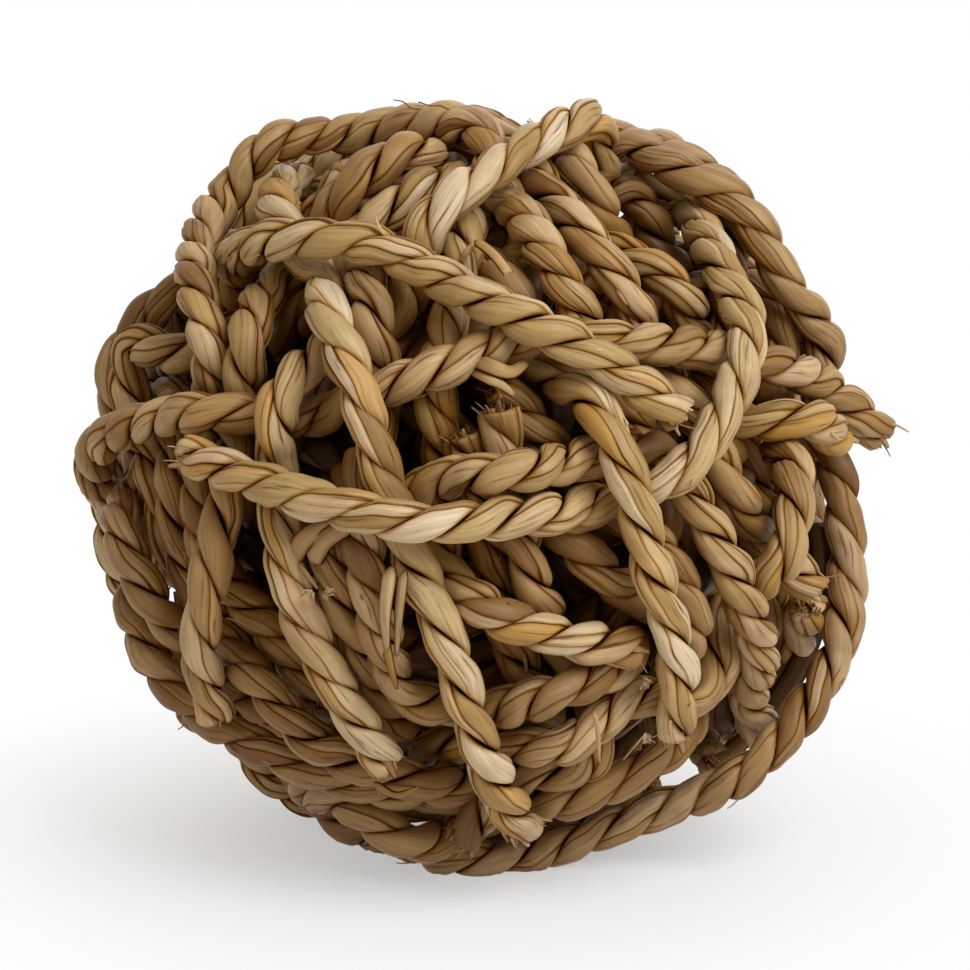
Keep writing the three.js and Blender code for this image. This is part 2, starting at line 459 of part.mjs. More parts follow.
// Pushes ropes apart where they are closer than one rope and its gap, and the one that is wound over
// the other out as well. Returns the worst overlap.
function pressApart(pairs, push, layerPush) {
  let worst = 0;
  for (const [one, two] of pairs) {
    const [s, t] = closestShares(one.a, one.b, two.a, two.b);
    const here = one.a.clone().lerp(one.b, s);
    const there = two.a.clone().lerp(two.b, t);
    const apart = here.clone().sub(there);
    const distance = apart.length();
    if (distance < ropePitch) {
      const lack = ropePitch - distance;
      worst = Math.max(worst, lack);
      if (distance < 1e-6) {
        apart.copy(here);
      }
      const over = THREE.MathUtils.clamp((one.out - two.out) / ropePitch, -1, 1);
      apart.normalize().addScaledVector(here.clone().normalize(), over * layerPush);
      const weights = (1 - s) ** 2 + s ** 2 + (1 - t) ** 2 + t ** 2;
      apart.setLength((push * 2 * lack) / weights);
      one.a.addScaledVector(apart, 1 - s);
      one.b.addScaledVector(apart, s);
      two.a.addScaledVector(apart, t - 1);
      two.b.addScaledVector(apart, -t);
    }
  }
  return worst;
}

// Keeps a rope's points one step apart and, but for loose ends, inside the ball.
function keepInPlace(points, step, reach) {
  for (let index = 0; index + 1 < points.length; index += 1) {
    const along = points[index + 1].clone().sub(points[index]);
    const stretch = along.length() - step;
    along.setLength(stretch * STRETCH_EASE);
    points[index].add(along);
    points[index + 1].sub(along);
  }
  points.forEach((point, index) => {
    if (point.length() > reach[index]) {
      point.setLength(reach[index]);
    }
  });
}

// Keeps the lowest rope on the floor and all the rest above it.
function standOnFloor(points, homes) {
  points.forEach((point, index) => {
    const pressed = homes[index].z === floorLine;
    point.z = pressed ? floorLine : Math.max(point.z, floorLine);
  });
}

function easeBends(points) {
  const eased = points.map((point) => point.clone());
  for (let index = 1; index + 1 < points.length; index += 1) {
    const middle = points[index - 1].clone().add(points[index + 1]).multiplyScalar(0.5);
    eased[index].lerp(middle, BEND_EASE);
  }
  eased.forEach((point, index) => points[index].copy(point));
}

// Lets the ropes settle: each holds its picked place, straightens a little and gives way to the others.
// The ball's own weight presses the lowest rope flat on the floor.
function restingPlace(point) {
  const place = point.clone();
  if (place.z < floorLine + UNDERSIDE_SAG) {
    place.z = floorLine;
  }
  return place;
}

function settle(lines) {
  const homes = lines.map((points) => points.map((point) => restingPlace(point)));
  const steps = lines.map((points) => points[0].distanceTo(points[1]));
  const reaches = lines.map((points) => points.map((point) => Math.max(point.length(), shellRadius(0))));
  let pairs = [];
  for (let pass = 0; pass < SETTLE_PASSES; pass += 1) {
    if (pass % PASSES_PER_SEARCH === 0) {
      pairs = nearPairs(lines, homes);
    }
    lines.forEach((points, rope) => {
      easeBends(points);
      points.forEach((point, index) => point.lerp(homes[rope][index], HOLD_PLACE));
    });
    pressApart(pairs, CONTACT_PUSH, LAYER_PUSH);
    lines.forEach((points, rope) => {
      keepInPlace(points, steps[rope], reaches[rope]);
      standOnFloor(points, homes[rope]);
    });
  }
  for (let pass = 0; pass < CONTACT_PASSES; pass += 1) {
    if (pass % PASSES_PER_SEARCH === 0) {
      pairs = nearPairs(lines, homes);
    }
    const worst = pressApart(pairs, LAST_PUSH, 0);
    lines.forEach((points, rope) => standOnFloor(points, homes[rope]));
    if (worst < OVERLAP_LEFT) {
      break;
    }
  }
  return lines;
}

function leastGap(points) {
  let least = Infinity;
  for (let one = 0; one + 1 < points.length; one += 1) {
    for (let two = one + 3; two + 1 < points.length; two += 1) {
      const [s, t] = closestShares(points[one], points[one + 1], points[two], points[two + 1]);
      const here = points[one].clone().lerp(points[one + 1], s);
      const there = points[two].clone().lerp(points[two + 1], t);
      least = Math.min(least, here.distanceTo(there) - ROPE_DIAMETER);
    }
  }
  return least;
}

// A closed tube along a line. Its rings keep a flat side turned out of the ball, and the ones under
// the ball are cut off at the floor.
function ropeGeometry(points, sides) {
  const positions = [];
  const triangles = [];
  const last = points.length - 1;
  let side = new THREE.Vector3(1, 0, 0);
  points.forEach((point, index) => {
    const along = points[Math.min(index + 1, last)].clone().sub(points[Math.max(index - 1, 0)]).normalize();
    const away = point.z > floorLine ? point : downward;
    const across = new THREE.Vector3().crossVectors(along, away).normalize();
    if (index > 0 && across.dot(side) < 0.5) {
      across.copy(side).addScaledVector(along, -side.dot(along)).normalize();
    }
    side = across;
    const outward = new THREE.Vector3().crossVectors(across, along);
    for (let corner = 0; corner < sides; corner += 1) {
      const angle = Math.PI / 2 + ((corner - 0.5) / sides) * 2 * Math.PI;
      const place = point.clone();
      place.addScaledVector(across, ropeRadius * Math.cos(angle));
      place.addScaledVector(outward, ropeRadius * Math.sin(angle));
      positions.push(place.x, place.y, Math.max(place.z, floorHeight));
    }
  });
  const ring = (index, corner) => index * sides + (corner % sides);
  for (let index = 0; index < last; index += 1) {
    for (let corner = 0; corner < sides; corner += 1) {
      triangles.push(ring(index, corner), ring(index + 1, corner), ring(index, corner + 1));
      triangles.push(ring(index + 1, corner), ring(index + 1, corner + 1), ring(index, corner + 1));
    }
  }
  const startCap = positions.length / 3;
  positions.push(points[0].x, points[0].y, points[0].z);
  positions.push(points[last].x, points[last].y, points[last].z);
  for (let corner = 0; corner < sides; corner += 1) {
    triangles.push(startCap, ring(0, corner), ring(0, corner + 1));
    triangles.push(startCap + 1, ring(last, corner + 1), ring(last, corner));
  }
  const geometry = new THREE.BufferGeometry();
  geometry.setAttribute('position', new THREE.Float32BufferAttribute(positions, 3));
  geometry.setIndex(triangles);
  geometry.computeVertexNormals();
  return geometry;
}

function ropeMesh({ name, tone, sides = TUBE_SIDES }, points) {
  const material = new THREE.MeshStandardMaterial({ color: tone, roughness: ROPE_ROUGHNESS, metalness: 0 });
  const mesh = new THREE.Mesh(ropeGeometry(points, sides), material);
  mesh.name = name;
  return mesh;
}

const ropes = [...coreRopes, ...outerRopes];
const lines = settle(ropes.map((rope) => steppedLine(rope)));
const core = new THREE.Group();
const winding = new THREE.Group();
ropes.forEach((rope, index) => {
  const holder = index < coreRopes.length ? core : winding;
  holder.add(ropeMesh(rope, lines[index]));
  console.log(`${rope.name}: least gap to itself ${leastGap(lines[index]).toFixed(2)} mm`);
});

// The ball stands on its flats, with its box centred on the origin.
const group = new THREE.Group();
group.add(core, winding);
const box = new THREE.Box3().setFromObject(group);
const centre = box.getCenter(new THREE.Vector3());
group.position.set(-centre.x, -centre.y, -floorHeight);

export default group;
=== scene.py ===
"""A ball toy wound from two-ply seagrass rope, dressed over its CAD tubes.

Every rope is rebuilt as two plies of flat grass blades laid round each other, along the line that its
CAD tube follows, with ragged cut ends and a few loose blades and fibres.
"""

import json
import logging
import math
from dataclasses import dataclass, field
from enum import Enum
from typing import ClassVar

import bpy
import numpy as np
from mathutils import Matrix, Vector


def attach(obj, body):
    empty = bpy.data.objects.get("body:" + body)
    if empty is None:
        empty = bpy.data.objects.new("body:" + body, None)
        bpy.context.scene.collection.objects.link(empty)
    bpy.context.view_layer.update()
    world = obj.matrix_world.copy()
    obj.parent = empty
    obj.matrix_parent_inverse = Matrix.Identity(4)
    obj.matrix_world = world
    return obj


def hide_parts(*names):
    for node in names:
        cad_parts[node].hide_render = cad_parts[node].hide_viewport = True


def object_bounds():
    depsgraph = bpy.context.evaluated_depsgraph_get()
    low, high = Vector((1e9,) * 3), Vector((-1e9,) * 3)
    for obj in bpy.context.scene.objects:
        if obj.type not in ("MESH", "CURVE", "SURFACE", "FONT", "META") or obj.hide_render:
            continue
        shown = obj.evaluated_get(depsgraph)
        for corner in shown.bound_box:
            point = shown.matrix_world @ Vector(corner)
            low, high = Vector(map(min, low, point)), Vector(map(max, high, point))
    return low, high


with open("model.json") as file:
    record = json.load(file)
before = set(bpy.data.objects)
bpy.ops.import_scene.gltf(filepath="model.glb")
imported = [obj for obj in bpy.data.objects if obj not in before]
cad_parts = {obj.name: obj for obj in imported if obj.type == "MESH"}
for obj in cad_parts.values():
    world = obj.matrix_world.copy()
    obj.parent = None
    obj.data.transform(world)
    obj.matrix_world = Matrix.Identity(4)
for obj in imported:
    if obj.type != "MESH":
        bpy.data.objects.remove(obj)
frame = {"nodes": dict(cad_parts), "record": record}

CAD_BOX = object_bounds()
LOG = logging.getLogger("rope_ball")
MM = 0.001
SEED = 20000
# The middle that the ropes are wound round, and the photograph's viewing angle and distance, in metres
BALL_CENTRE = (-0.001567, 0.001269, 0.0464)
VIEW_TILT = math.radians(12)
VIEW_DISTANCE = 0.5
TO_CAMERA = np.array([0.0, -math.cos(VIEW_TILT), math.sin(VIEW_TILT)])
PICTURE_UP = np.array([0.0, math.sin(VIEW_TILT), math.cos(VIEW_TILT)])


class Tone(Enum):
    """The shades that the grass dries to, by the name of the record's slot."""

    STRAW = "straw_seagrass"
    TAN = "tan_seagrass"
    BROWN = "brown_seagrass"
    DARK = "dark_seagrass"


class End(Enum):
    """The two ends of a rope's line."""

    START = 0
    FINISH = -1


def linear(code: str) -> tuple[float, float, float, float]:
    """Turns an sRGB hex colour to linear.

    Args:
        code: The colour, such as "#c3a56c".

    Returns:
        Linear red, green, blue and an alpha of 1.
    """
    parts = [int(code[i : i + 2], 16) / 255 for i in (1, 3, 5)]
    red, green, blue = (p / 12.92 if p <= 0.04045 else ((p + 0.055) / 1.055) ** 2.4 for p in parts)
    return red, green, blue, 1.0


def add_node(
    tree: bpy.types.NodeTree, kind: str, inputs: dict[str | int, object] | None = None, **settings: object
) -> bpy.types.Node:
    """Adds one node, with its settings and links.

    Args:
        tree: The material's or world's node tree.
        kind: The node's type name.
        inputs: Each socket's name or number, with its value or the output socket that is linked to it.
        settings: The node's properties by name.

    Returns:
        The new node.
    """
    node = tree.nodes.new(kind)
    for name, value in settings.items():
        setattr(node, name, value)
    for socket, value in (inputs or {}).items():
        if isinstance(value, bpy.types.NodeSocket):
            tree.links.new(value, node.inputs[socket])
        else:
            node.inputs[socket].default_value = value
    return node


def straight_rays(tree: bpy.types.NodeTree) -> bpy.types.NodeSocket:
    """Marks the rays that show the background: the camera's, and those that gloss or glass turns.

    Args:
        tree: The material's or world's node tree.

    Returns:
        The output that is 1 for such a ray, and 0 for the light that falls on things.
    """
    rays = add_node(tree, "ShaderNodeLightPath")
    marked = rays.outputs["Is Camera Ray"]
    for kind in ("Is Glossy Ray", "Is Transmission Ray"):
        both = add_node(
            tree, "ShaderNodeMath", operation="MAXIMUM", inputs={0: marked, 1: rays.outputs[kind]}
        )
        marked = both.outputs["Value"]
    return marked


def fill_ramp(node: bpy.types.Node, stops: list[tuple[float, str]]) -> None:
    """Sets a colour ramp's stops.

    Args:
        node: The colour ramp.
        stops: Each stop's place and sRGB hex colour, in order.
    """
    elements = node.color_ramp.elements
    while len(elements) < len(stops):
        elements.new(1.0)
    for element, (place, code) in zip(elements, stops):
        element.position = place
        element.color = linear(code)


@dataclass(frozen=True)
class SeagrassFinish:
    """Dried seagrass, twisted into rope: papery satin blades, veined along their length.

    Each blade has its own shade, fine veins run along it and brown stains cross several blades.
    Painted shade darkens and warms the plies towards their creases and notches, draws a dark line
    in the creases themselves, and darkens the grass deeper inside the ball.
    Real veins lie about 0.1 mm apart, too fine to show, so the broadest are drawn 0.5 mm wide.
    Lengths are in millimetres. A spread is the part of a noise that a look takes up.
    """

    name: str
    shades: tuple[str, ...]
    stain: str
    crack: str = "#6b431c"
    # Painted shade: a dark line in the creases between blades and in the notches between the plies
    crease: str = "#1f0c02"
    # Painted shade: darker and warmer towards the creases and the notches
    fold_and_crease_shade: str = "#c29a50"
    shade_and_gloss_reach: float = 0.38
    # Painted shade: darker deeper inside the ball
    inner: str = "#d0b25e"
    inner_shade_reach: tuple[float, float] = (37.0, 48.5)
    roughness: float = 0.46
    gloss: float = 0.24
    vein_width: float = 0.5
    vein_length: float = 9.0
    vein_roughness: float = 0.62
    vein_spread: tuple[float, float] = (0.3, 0.7)
    vein_light: tuple[float, float] = (0.76, 1.15)
    vein_relief: float = 0.1
    bump: float = 0.28
    crack_spread: tuple[float, float] = (0.3, 0.385)
    crack_share: float = 0.8
    noise_detail: float = 4.0
    stain_size: float = 9.0
    stain_spread: tuple[float, float] = (0.5, 0.75)
    stain_share: float = 0.5
    crease_shade_width: float = 0.11
    crease_shade_share: float = 0.92

    def build(self) -> bpy.types.Material:
        """Makes the material.

        Returns:
            The material, which reads the rope's blade and crease attributes and its grain map.
        """
        material = bpy.data.materials.new(self.name)
        material.use_nodes = True
        tree = material.node_tree
        tree.nodes.clear()
        blade = add_node(tree, "ShaderNodeAttribute", attribute_name="blade")
        shade = add_node(tree, "ShaderNodeValToRGB", inputs={"Fac": blade.outputs["Fac"]})
        places = np.linspace(0.0, 1.0, len(self.shades))
        fill_ramp(shade, list(zip(places.tolist(), self.shades)))
        grain = add_node(tree, "ShaderNodeUVMap", uv_map="grain")
        veined = add_node(
            tree,
            "ShaderNodeMapping",
            inputs={"Vector": grain.outputs["UV"], "Scale": (1 / self.vein_width, 1 / self.vein_length, 1.0)},
        )
        veins = add_node(
            tree,
            "ShaderNodeTexNoise",
            noise_dimensions="2D",
            inputs={
                "Vector": veined.outputs["Vector"],
                "Scale": 1.0,
                "Detail": self.noise_detail,
                "Roughness": self.vein_roughness,
            },
        )
        place = add_node(tree, "ShaderNodeTexCoord")
        stains = add_node(
            tree,
            "ShaderNodeTexNoise",
            inputs={
                "Vector": place.outputs["Object"],
                "Scale": 1 / (self.stain_size * MM),
                "Detail": self.noise_detail,
            },
        )
        depth = add_node(
            tree,
            "ShaderNodeVectorMath",
            operation="DISTANCE",
            inputs={0: place.outputs["Object"], 1: BALL_CENTRE},
        )
        deep, shallow = self.inner_shade_reach
        crease = add_node(tree, "ShaderNodeAttribute", attribute_name="crease")
        vein, stain, off_crease = veins.outputs["Fac"], stains.outputs["Fac"], crease.outputs["Fac"]
        spans = {
            "vein": (vein, self.vein_spread, self.vein_light, "LINEAR"),
            "crack": (vein, self.crack_spread, (self.crack_share, 0.0), "LINEAR"),
            "stain": (stain, self.stain_spread, (0.0, self.stain_share), "LINEAR"),
            # The inner, fold and crease spans are painted shade: deep in the ball, and towards and in the
            # creases and notches
            "inner": (depth.outputs["Value"], (deep * MM, shallow * MM), (1.0, 0.0), "LINEAR"),
            "fold_and_crease_shade": (off_crease, (0.0, self.shade_and_gloss_reach), (1.0, 0.0), "SMOOTHSTEP"),
            "crease": (off_crease, (0.0, self.crease_shade_width), (self.crease_shade_share, 0.0), "LINEAR"),
            "gloss": (off_crease, (0.0, self.shade_and_gloss_reach), (0.0, self.gloss), "LINEAR"),
        }
        share = {}
        for name, (measure, (low, high), (first, last), course) in spans.items():
            span = add_node(
                tree,
                "ShaderNodeMapRange",
                interpolation_type=course,
                inputs={"Value": measure, "From Min": low, "From Max": high, "To Min": first, "To Max": last},
            )
            share[name] = span.outputs["Result"]
        layers = (
            ("MULTIPLY", 1.0, share["vein"]),
            ("MIX", share["crack"], linear(self.crack)),
            ("MIX", share["stain"], linear(self.stain)),
            # Painted shade: darker deep in the ball, and darker and warmer towards and in the creases and
            # notches
            ("MULTIPLY", share["inner"], linear(self.inner)),
            ("MULTIPLY", share["fold_and_crease_shade"], linear(self.fold_and_crease_shade)),
            ("MIX", share["crease"], linear(self.crease)),
        )
        colour = shade.outputs["Color"]
        for blend, amount, over in layers:
            layer = add_node(
                tree,
                "ShaderNodeMix",
                data_type="RGBA",
                blend_type=blend,
                inputs={"Factor": amount, 6: colour, 7: over},
            )
            colour = layer.outputs[2]
        bump = add_node(
            tree,
            "ShaderNodeBump",
            inputs={
                "Strength": self.bump,
                "Distance": self.vein_relief * MM,
                "Height": veins.outputs["Fac"],
            },
        )
        skin = add_node(
            tree,
            "ShaderNodeBsdfPrincipled",
            inputs={
                "Base Color": colour,
                "Roughness": self.roughness,
                "Specular IOR Level": share["gloss"],
                "Normal": bump.outputs["Normal"],
            },
        )
        add_node(tree, "ShaderNodeOutputMaterial", inputs={"Surface": skin.outputs["BSDF"]})
        return material


FINISHES = {
    Tone.STRAW: SeagrassFinish(
        "dried_seagrass_straw",
        ("#8f683c", "#ad8a52", "#be9f69", "#ccaf80", "#dcc4a0", "#bf9046"),
        "#8d6033",
    ),
    Tone.TAN: SeagrassFinish(
        "dried_seagrass_tan",
        ("#835b31", "#a17c48", "#b3915f", "#c09f70", "#cfb085", "#ad813d"),
        "#80542a",
    ),
    Tone.BROWN: SeagrassFinish(
        "dried_seagrass_brown",
        ("#755029", "#926c3d", "#a58152", "#b18f62", "#be9f76", "#9a7134"),
        "#724721",
    ),
    Tone.DARK: SeagrassFinish(
        "dried_seagrass_dark",
        ("#4b3216", "#60431e", "#765529", "#896635", "#937240"),
        "#4a2c12",
    ),
}


@dataclass(frozen=True)
class Wander:
    """A smooth change along a rope, from a few waves with seeded phases, each shorter than the last."""

    waves: ClassVar[int] = 4
    shortening: ClassVar[float] = 0.83
    evening: ClassVar[float] = 1.5
    amount: float
    wavelength: float
    phases: tuple[float, ...]

    @classmethod
    def seeded(cls, random: np.random.Generator, amount: float, wavelength: float) -> "Wander":
        """Draws the phases of a change of about this amount, whose longest wave is in millimetres."""
        return cls(amount, wavelength, tuple(random.uniform(0, 2 * math.pi, cls.waves)))

    def at(self, along: np.ndarray) -> np.ndarray:
        """Reads the change.

        Args:
            along: Places along the rope, in millimetres.

        Returns:
            The change at each place.
        """
        total = np.zeros_like(along)
        for number, phase in enumerate(self.phases):
            turns = along * (1 + self.shortening * number) / self.wavelength
            total += np.sin(2 * math.pi * turns + phase) / (1 + number)
        return self.amount * total / self.evening


@dataclass
class Line:
    """A line in space with a frame that doesn't twist along it. Millimetres."""

    points: np.ndarray
    along: np.ndarray
    forward: np.ndarray
    side: np.ndarray
    up: np.ndarray


@dataclass
class Curve:
    """A smooth curve through a row of places, with its length measured along it. Millimetres."""

    steps: ClassVar[int] = 24
    first_side: ClassVar[tuple[float, float, float]] = (0.31, 0.52, 0.79)
    points: np.ndarray
    measured: np.ndarray

    @classmethod
    def through(cls, knots: np.ndarray) -> "Curve":
        """Draws the curve.

        Args:
            knots: The points that it passes.

        Returns:
            The curve, as many short steps.
        """
        padded = np.vstack([2 * knots[0] - knots[1], knots, 2 * knots[-1] - knots[-2]])
        share = np.linspace(0, 1, cls.steps, endpoint=False)[:, None]
        fine = []
        for span in range(len(knots) - 1):
            a, b, c, d = padded[span : span + 4]
            fine.append(
                b
                + 0.5 * share * (c - a)
                + share**2 * (a - 2.5 * b + 2 * c - 0.5 * d)
                + share**3 * (1.5 * (b - c) + 0.5 * (d - a))
            )
        points = np.vstack([*fine, knots[-1:]])
        moved = np.linalg.norm(np.diff(points, axis=0), axis=1)
        return cls(points, np.concatenate([[0], np.cumsum(moved)]))

    @property
    def length(self) -> float:
        """The curve's length."""
        return float(self.measured[-1])

    def line_at(self, along: np.ndarray) -> Line:
        """Takes places along the curve.

        Args:
            along: How far along the curve each place is.

        Returns:
            The line through those places.
        """
        points = np.column_stack([np.interp(along, self.measured, self.points[:, axis]) for axis in range(3)])
        forward = np.gradient(points, axis=0)
        forward /= np.linalg.norm(forward, axis=1)[:, None]
        side = np.zeros_like(points)
        before = np.cross(forward[0], self.first_side)
        for index, way in enumerate(forward):
            before = before - way * before.dot(way)
            before /= np.linalg.norm(before)
            side[index] = before
        return Line(points, along, forward, side, np.cross(forward, side))


def tube_centres(node: bpy.types.Object) -> np.ndarray:
    """Reads the middle of every ring of a CAD tube, from one cut end to the other.

    Args:
        node: The tube's CAD node, whose ends are each a fan of triangles round a middle point.

    Returns:
        The ring centres, in millimetres.
    """
    mesh = node.data
    loose = np.empty(len(mesh.vertices) * 3)
    mesh.vertices.foreach_get("co", loose)
    places, merged = np.unique(np.round(loose.reshape(-1, 3) / MM, 3), axis=0, return_inverse=True)
    merged = merged.reshape(-1)
    beside: list[set[int]] = [set() for _ in places]
    for polygon in mesh.polygons:
        corners = [int(merged[v]) for v in polygon.vertices]
        for one, two in zip(corners, corners[1:] + corners[:1]):
            beside[one].add(two)
            beside[two].add(one)
    off_middle = [
        np.linalg.norm(places[i] - places[list(near)].mean(axis=0)) for i, near in enumerate(beside)
    ]
    start = int(np.argmin(off_middle))
    centres = []
    ring = {start}
    seen = {start}
    while ring:
        centres.append(places[list(ring)].mean(axis=0))
        ring = {near for corner in ring for near in beside[corner]} - seen
        seen |= ring
    return np.array(centres[1:-1])


@dataclass
class GrassMesh:
    """Gathers blades of grass into one mesh, with their shades, creases and grain. Millimetres.

    A cut face's middle is sunk by a share of the end ring's way to the next, and its crease distance
    sets how much painted crease shade it takes. Nothing lies lower than a hair's breadth above the floor.
    """

    cut_sink: ClassVar[float] = 0.3
    # The crease distance of a cut face's middle, which sets its painted shade
    cut_crease: ClassVar[float] = 0.3
    floor_gap: ClassVar[float] = 0.02
    points: list[np.ndarray] = field(default_factory=list)
    crease: list[np.ndarray] = field(default_factory=list)
    faces: list[np.ndarray] = field(default_factory=list)
    grain: list[np.ndarray] = field(default_factory=list)
    shade: list[np.ndarray] = field(default_factory=list)
    count: int = 0

    def add_points(self, points: np.ndarray, crease: np.ndarray) -> int:
        """Adds points.

        Args:
            points: Their places.
            crease: How far each lies from the nearest crease.

        Returns:
            The number of the first one.
        """
        first = self.count
        self.points.append(points)
        self.crease.append(crease)
        self.count += len(points)
        return first

    def add_faces(self, faces: np.ndarray, grain: np.ndarray, shade: np.ndarray) -> None:
        """Adds faces.

        Args:
            faces: The numbers of their corners, one row a face.
            grain: Where each corner lies across and along its blade.
            shade: Each face's shade, from 0 to 1.
        """
        self.faces.append(faces)
        self.grain.append(grain.reshape(-1, 2))
        self.shade.append(shade)

    def add_tube(
        self, rings: np.ndarray, crease: np.ndarray, across: np.ndarray, along: np.ndarray, shade: np.ndarray
    ) -> None:
        """Adds a closed tube of blades, with a cut face at each end that is sunk a little.

        Args:
            rings: The places, by ring and column.
            crease: How far each place lies from a crease, by ring and column.
            across: Where each column lies across the blades, with the whole way round as the last.
            along: Where each ring lies along the blades.
            shade: Each face's shade, by ring and column.
        """
        count, columns = rings.shape[:2]
        first = self.add_points(rings.reshape(-1, 3), crease.reshape(-1))
        ring, column = np.meshgrid(np.arange(count - 1), np.arange(columns), indexing="ij")
        corners = ((0, 0), (0, 1), (1, 0)), ((0, 1), (1, 1), (1, 0))
        for triangle in corners:
            face = [first + (ring + r) * columns + (column + c) % columns for r, c in triangle]
            grain = [np.stack([across[column + c], along[ring + r]], axis=-1) for r, c in triangle]
            faces = np.stack(face, axis=-1).reshape(-1, 3)
            self.add_faces(faces, np.stack(grain, axis=-2), shade.reshape(-1))
        for end, inner in ((0, 1), (count - 1, count - 2)):
            sunk = (1 - self.cut_sink) * rings[end] + self.cut_sink * rings[inner]
            middle = self.add_points(sunk.mean(axis=0)[None, :], np.full(1, self.cut_crease))
            here = first + end * columns + np.arange(columns)
            there = np.roll(here, -1)
            pair = [there, here] if end == 0 else [here, there]
            fan = np.stack([*pair, np.full(columns, middle)], axis=-1)
            flat = np.stack([across[:-1], np.full(columns, along[end])], axis=-1)
            self.add_faces(fan, np.repeat(flat[:, None, :], 3, axis=1), shade[0 if end == 0 else -1])

    def build(self, name: str) -> bpy.types.Object:
        """Makes the object.

        Args:
            name: The object's name.

        Returns:
            The object, at the origin, with its place in its mesh.
        """
        mesh = bpy.data.meshes.new(name)
        points = np.vstack(self.points)
        points[:, 2] = np.maximum(points[:, 2], self.floor_gap)
        corners = np.concatenate([faces.reshape(-1) for faces in self.faces])
        sizes = np.concatenate([np.full(len(faces), faces.shape[1]) for faces in self.faces])
        mesh.vertices.add(len(points))
        mesh.vertices.foreach_set("co", (points * MM).astype(np.float32).reshape(-1))
        mesh.loops.add(len(corners))
        mesh.loops.foreach_set("vertex_index", corners.astype(np.int32))
        mesh.polygons.add(len(sizes))
        starts = np.concatenate([[0], np.cumsum(sizes)[:-1]])
        mesh.polygons.foreach_set("loop_start", starts.astype(np.int32))
        mesh.update(calc_edges=True)
        mesh.shade_smooth()
        uv = mesh.uv_layers.new(name="grain")
        uv.uv.foreach_set("vector", np.vstack(self.grain).astype(np.float32).reshape(-1))
        creases = mesh.attributes.new("crease", "FLOAT", "POINT")
        creases.data.foreach_set("value", np.concatenate(self.crease).astype(np.float32))
        shades = mesh.attributes.new("blade", "FLOAT", "FACE")
        shades.data.foreach_set("value", np.concatenate(self.shade).astype(np.float32))
        made = bpy.data.objects.new(name, mesh)
        bpy.context.scene.collection.objects.link(made)
        return made


@dataclass(frozen=True)
class RopeLay:
    """How the rope is laid, in millimetres: two plies of flat blades, turned to the left.

    A ply is half of the rope's round section, with its outer face rolled in to a sharp notch on both
    sides. The face's columns are angles from its middle, in degrees. The blades run nearly along the
    rope, so the turning ply takes each one across its face, one column a ring. What sways or swells
    along the rope has an amount and a wavelength, and what is drawn by chance has a least and a most.
    """

    diameter: float = 5.15
    diameter_sway: tuple[float, float] = (0.04, 31.0)
    pitch: float = 12.4
    pitch_spread: tuple[float, float] = (0.86, 1.14)
    pitch_sway: tuple[float, float] = (0.1, 47.0)
    face: tuple[float, ...] = (0, 12, 24, 36, 48, 59, 70, 79, 86)
    inside: int = 6
    ply_gap: float = 0.02
    ply_middle: float = 0.3
    ply_sway: tuple[float, float] = (0.15, 17.0)
    ply_swell: tuple[float, float] = (0.07, 13.0)
    notch_depth: float = 0.42
    notch_power: float = 3.1
    notch_arc: float = 0.8
    notch_flat: float = 0.4
    notch_line: float = 0.5
    blades: int = 7
    least_blade: int = 3
    blade_edge: float = 0.15
    blade_fall: float = 0.5
    blade_bulge: float = 0.05
    blade_lift: float = 0.09
    blade_line: float = 1.7
    edge_place: float = 0.28
    split_share: float = 0.58
    golden_share: float = 0.12
    golden: tuple[float, float] = (0.93, 1.0)
    crease_depth: float = 0.18
    faint_crease: float = 0.1
    cleft: tuple[float, float] = (0.35, 1.1)
    ragged: tuple[float, float] = (-0.2, 0.35)
    ragged_rings: tuple[float, ...] = (1.0, 0.6, 0.25)
    peel_every: float = 22.0
    peel_height: float = 0.9

    def outline(self) -> tuple[np.ndarray, np.ndarray, np.ndarray]:
        """Draws a ply's section, for a rope of radius 1 whose axis is the origin.

        Returns:
            How far each column lies out and sideways, and its distance from the notch, with the
            first column again as the last.
        """
        half = np.radians([*self.face, 90.0])
        angles = np.concatenate([-half[::-1], half[1:]])
        radius = 1 - self.notch_depth * (np.abs(angles) / (math.pi / 2)) ** self.notch_power
        out = np.maximum(radius * np.cos(angles), self.ply_gap)
        sideways = radius * np.sin(angles)
        share = np.arange(1, self.inside + 1) / self.inside
        out = np.concatenate([out, np.full(self.inside, self.ply_gap)])
        inner = sideways[-1] * (1 - 2 * share)
        sideways = np.concatenate([sideways, inner])
        notch = np.zeros_like(out)
        notch[: len(angles)] = (math.pi / 2 - np.abs(angles)) * self.notch_arc
        return out, sideways, notch


def seen_at(place: tuple[float, float, float]) -> np.ndarray:
    """Finds a place by where the photograph shows it.

    Args:
        place: How far right of the ball's centre and above it the place is seen, measured in the
            plane through the centre, and how far it lies before that plane. Millimetres.

    Returns:
        The place in the frame, in millimetres.
    """
    right, up, near = place
    camera = TO_CAMERA * VIEW_DISTANCE / MM
    shown = np.array([right, 0.0, 0.0]) + PICTURE_UP * up
    return np.array(BALL_CENTRE) / MM + shown + (camera - shown) * near * MM / VIEW_DISTANCE


@dataclass(frozen=True)
class LooseBlade:
    """A blade or fibre that has come loose from a rope, along a few places that the photograph shows.

    Its tip's width is a share of its width. It faces away from the ball, or the camera. Millimetres.
    """

    node: str
    path: tuple[tuple[float, float, float], ...]
    width: float
    tip: float
    shade: float
    faces_camera: bool = False


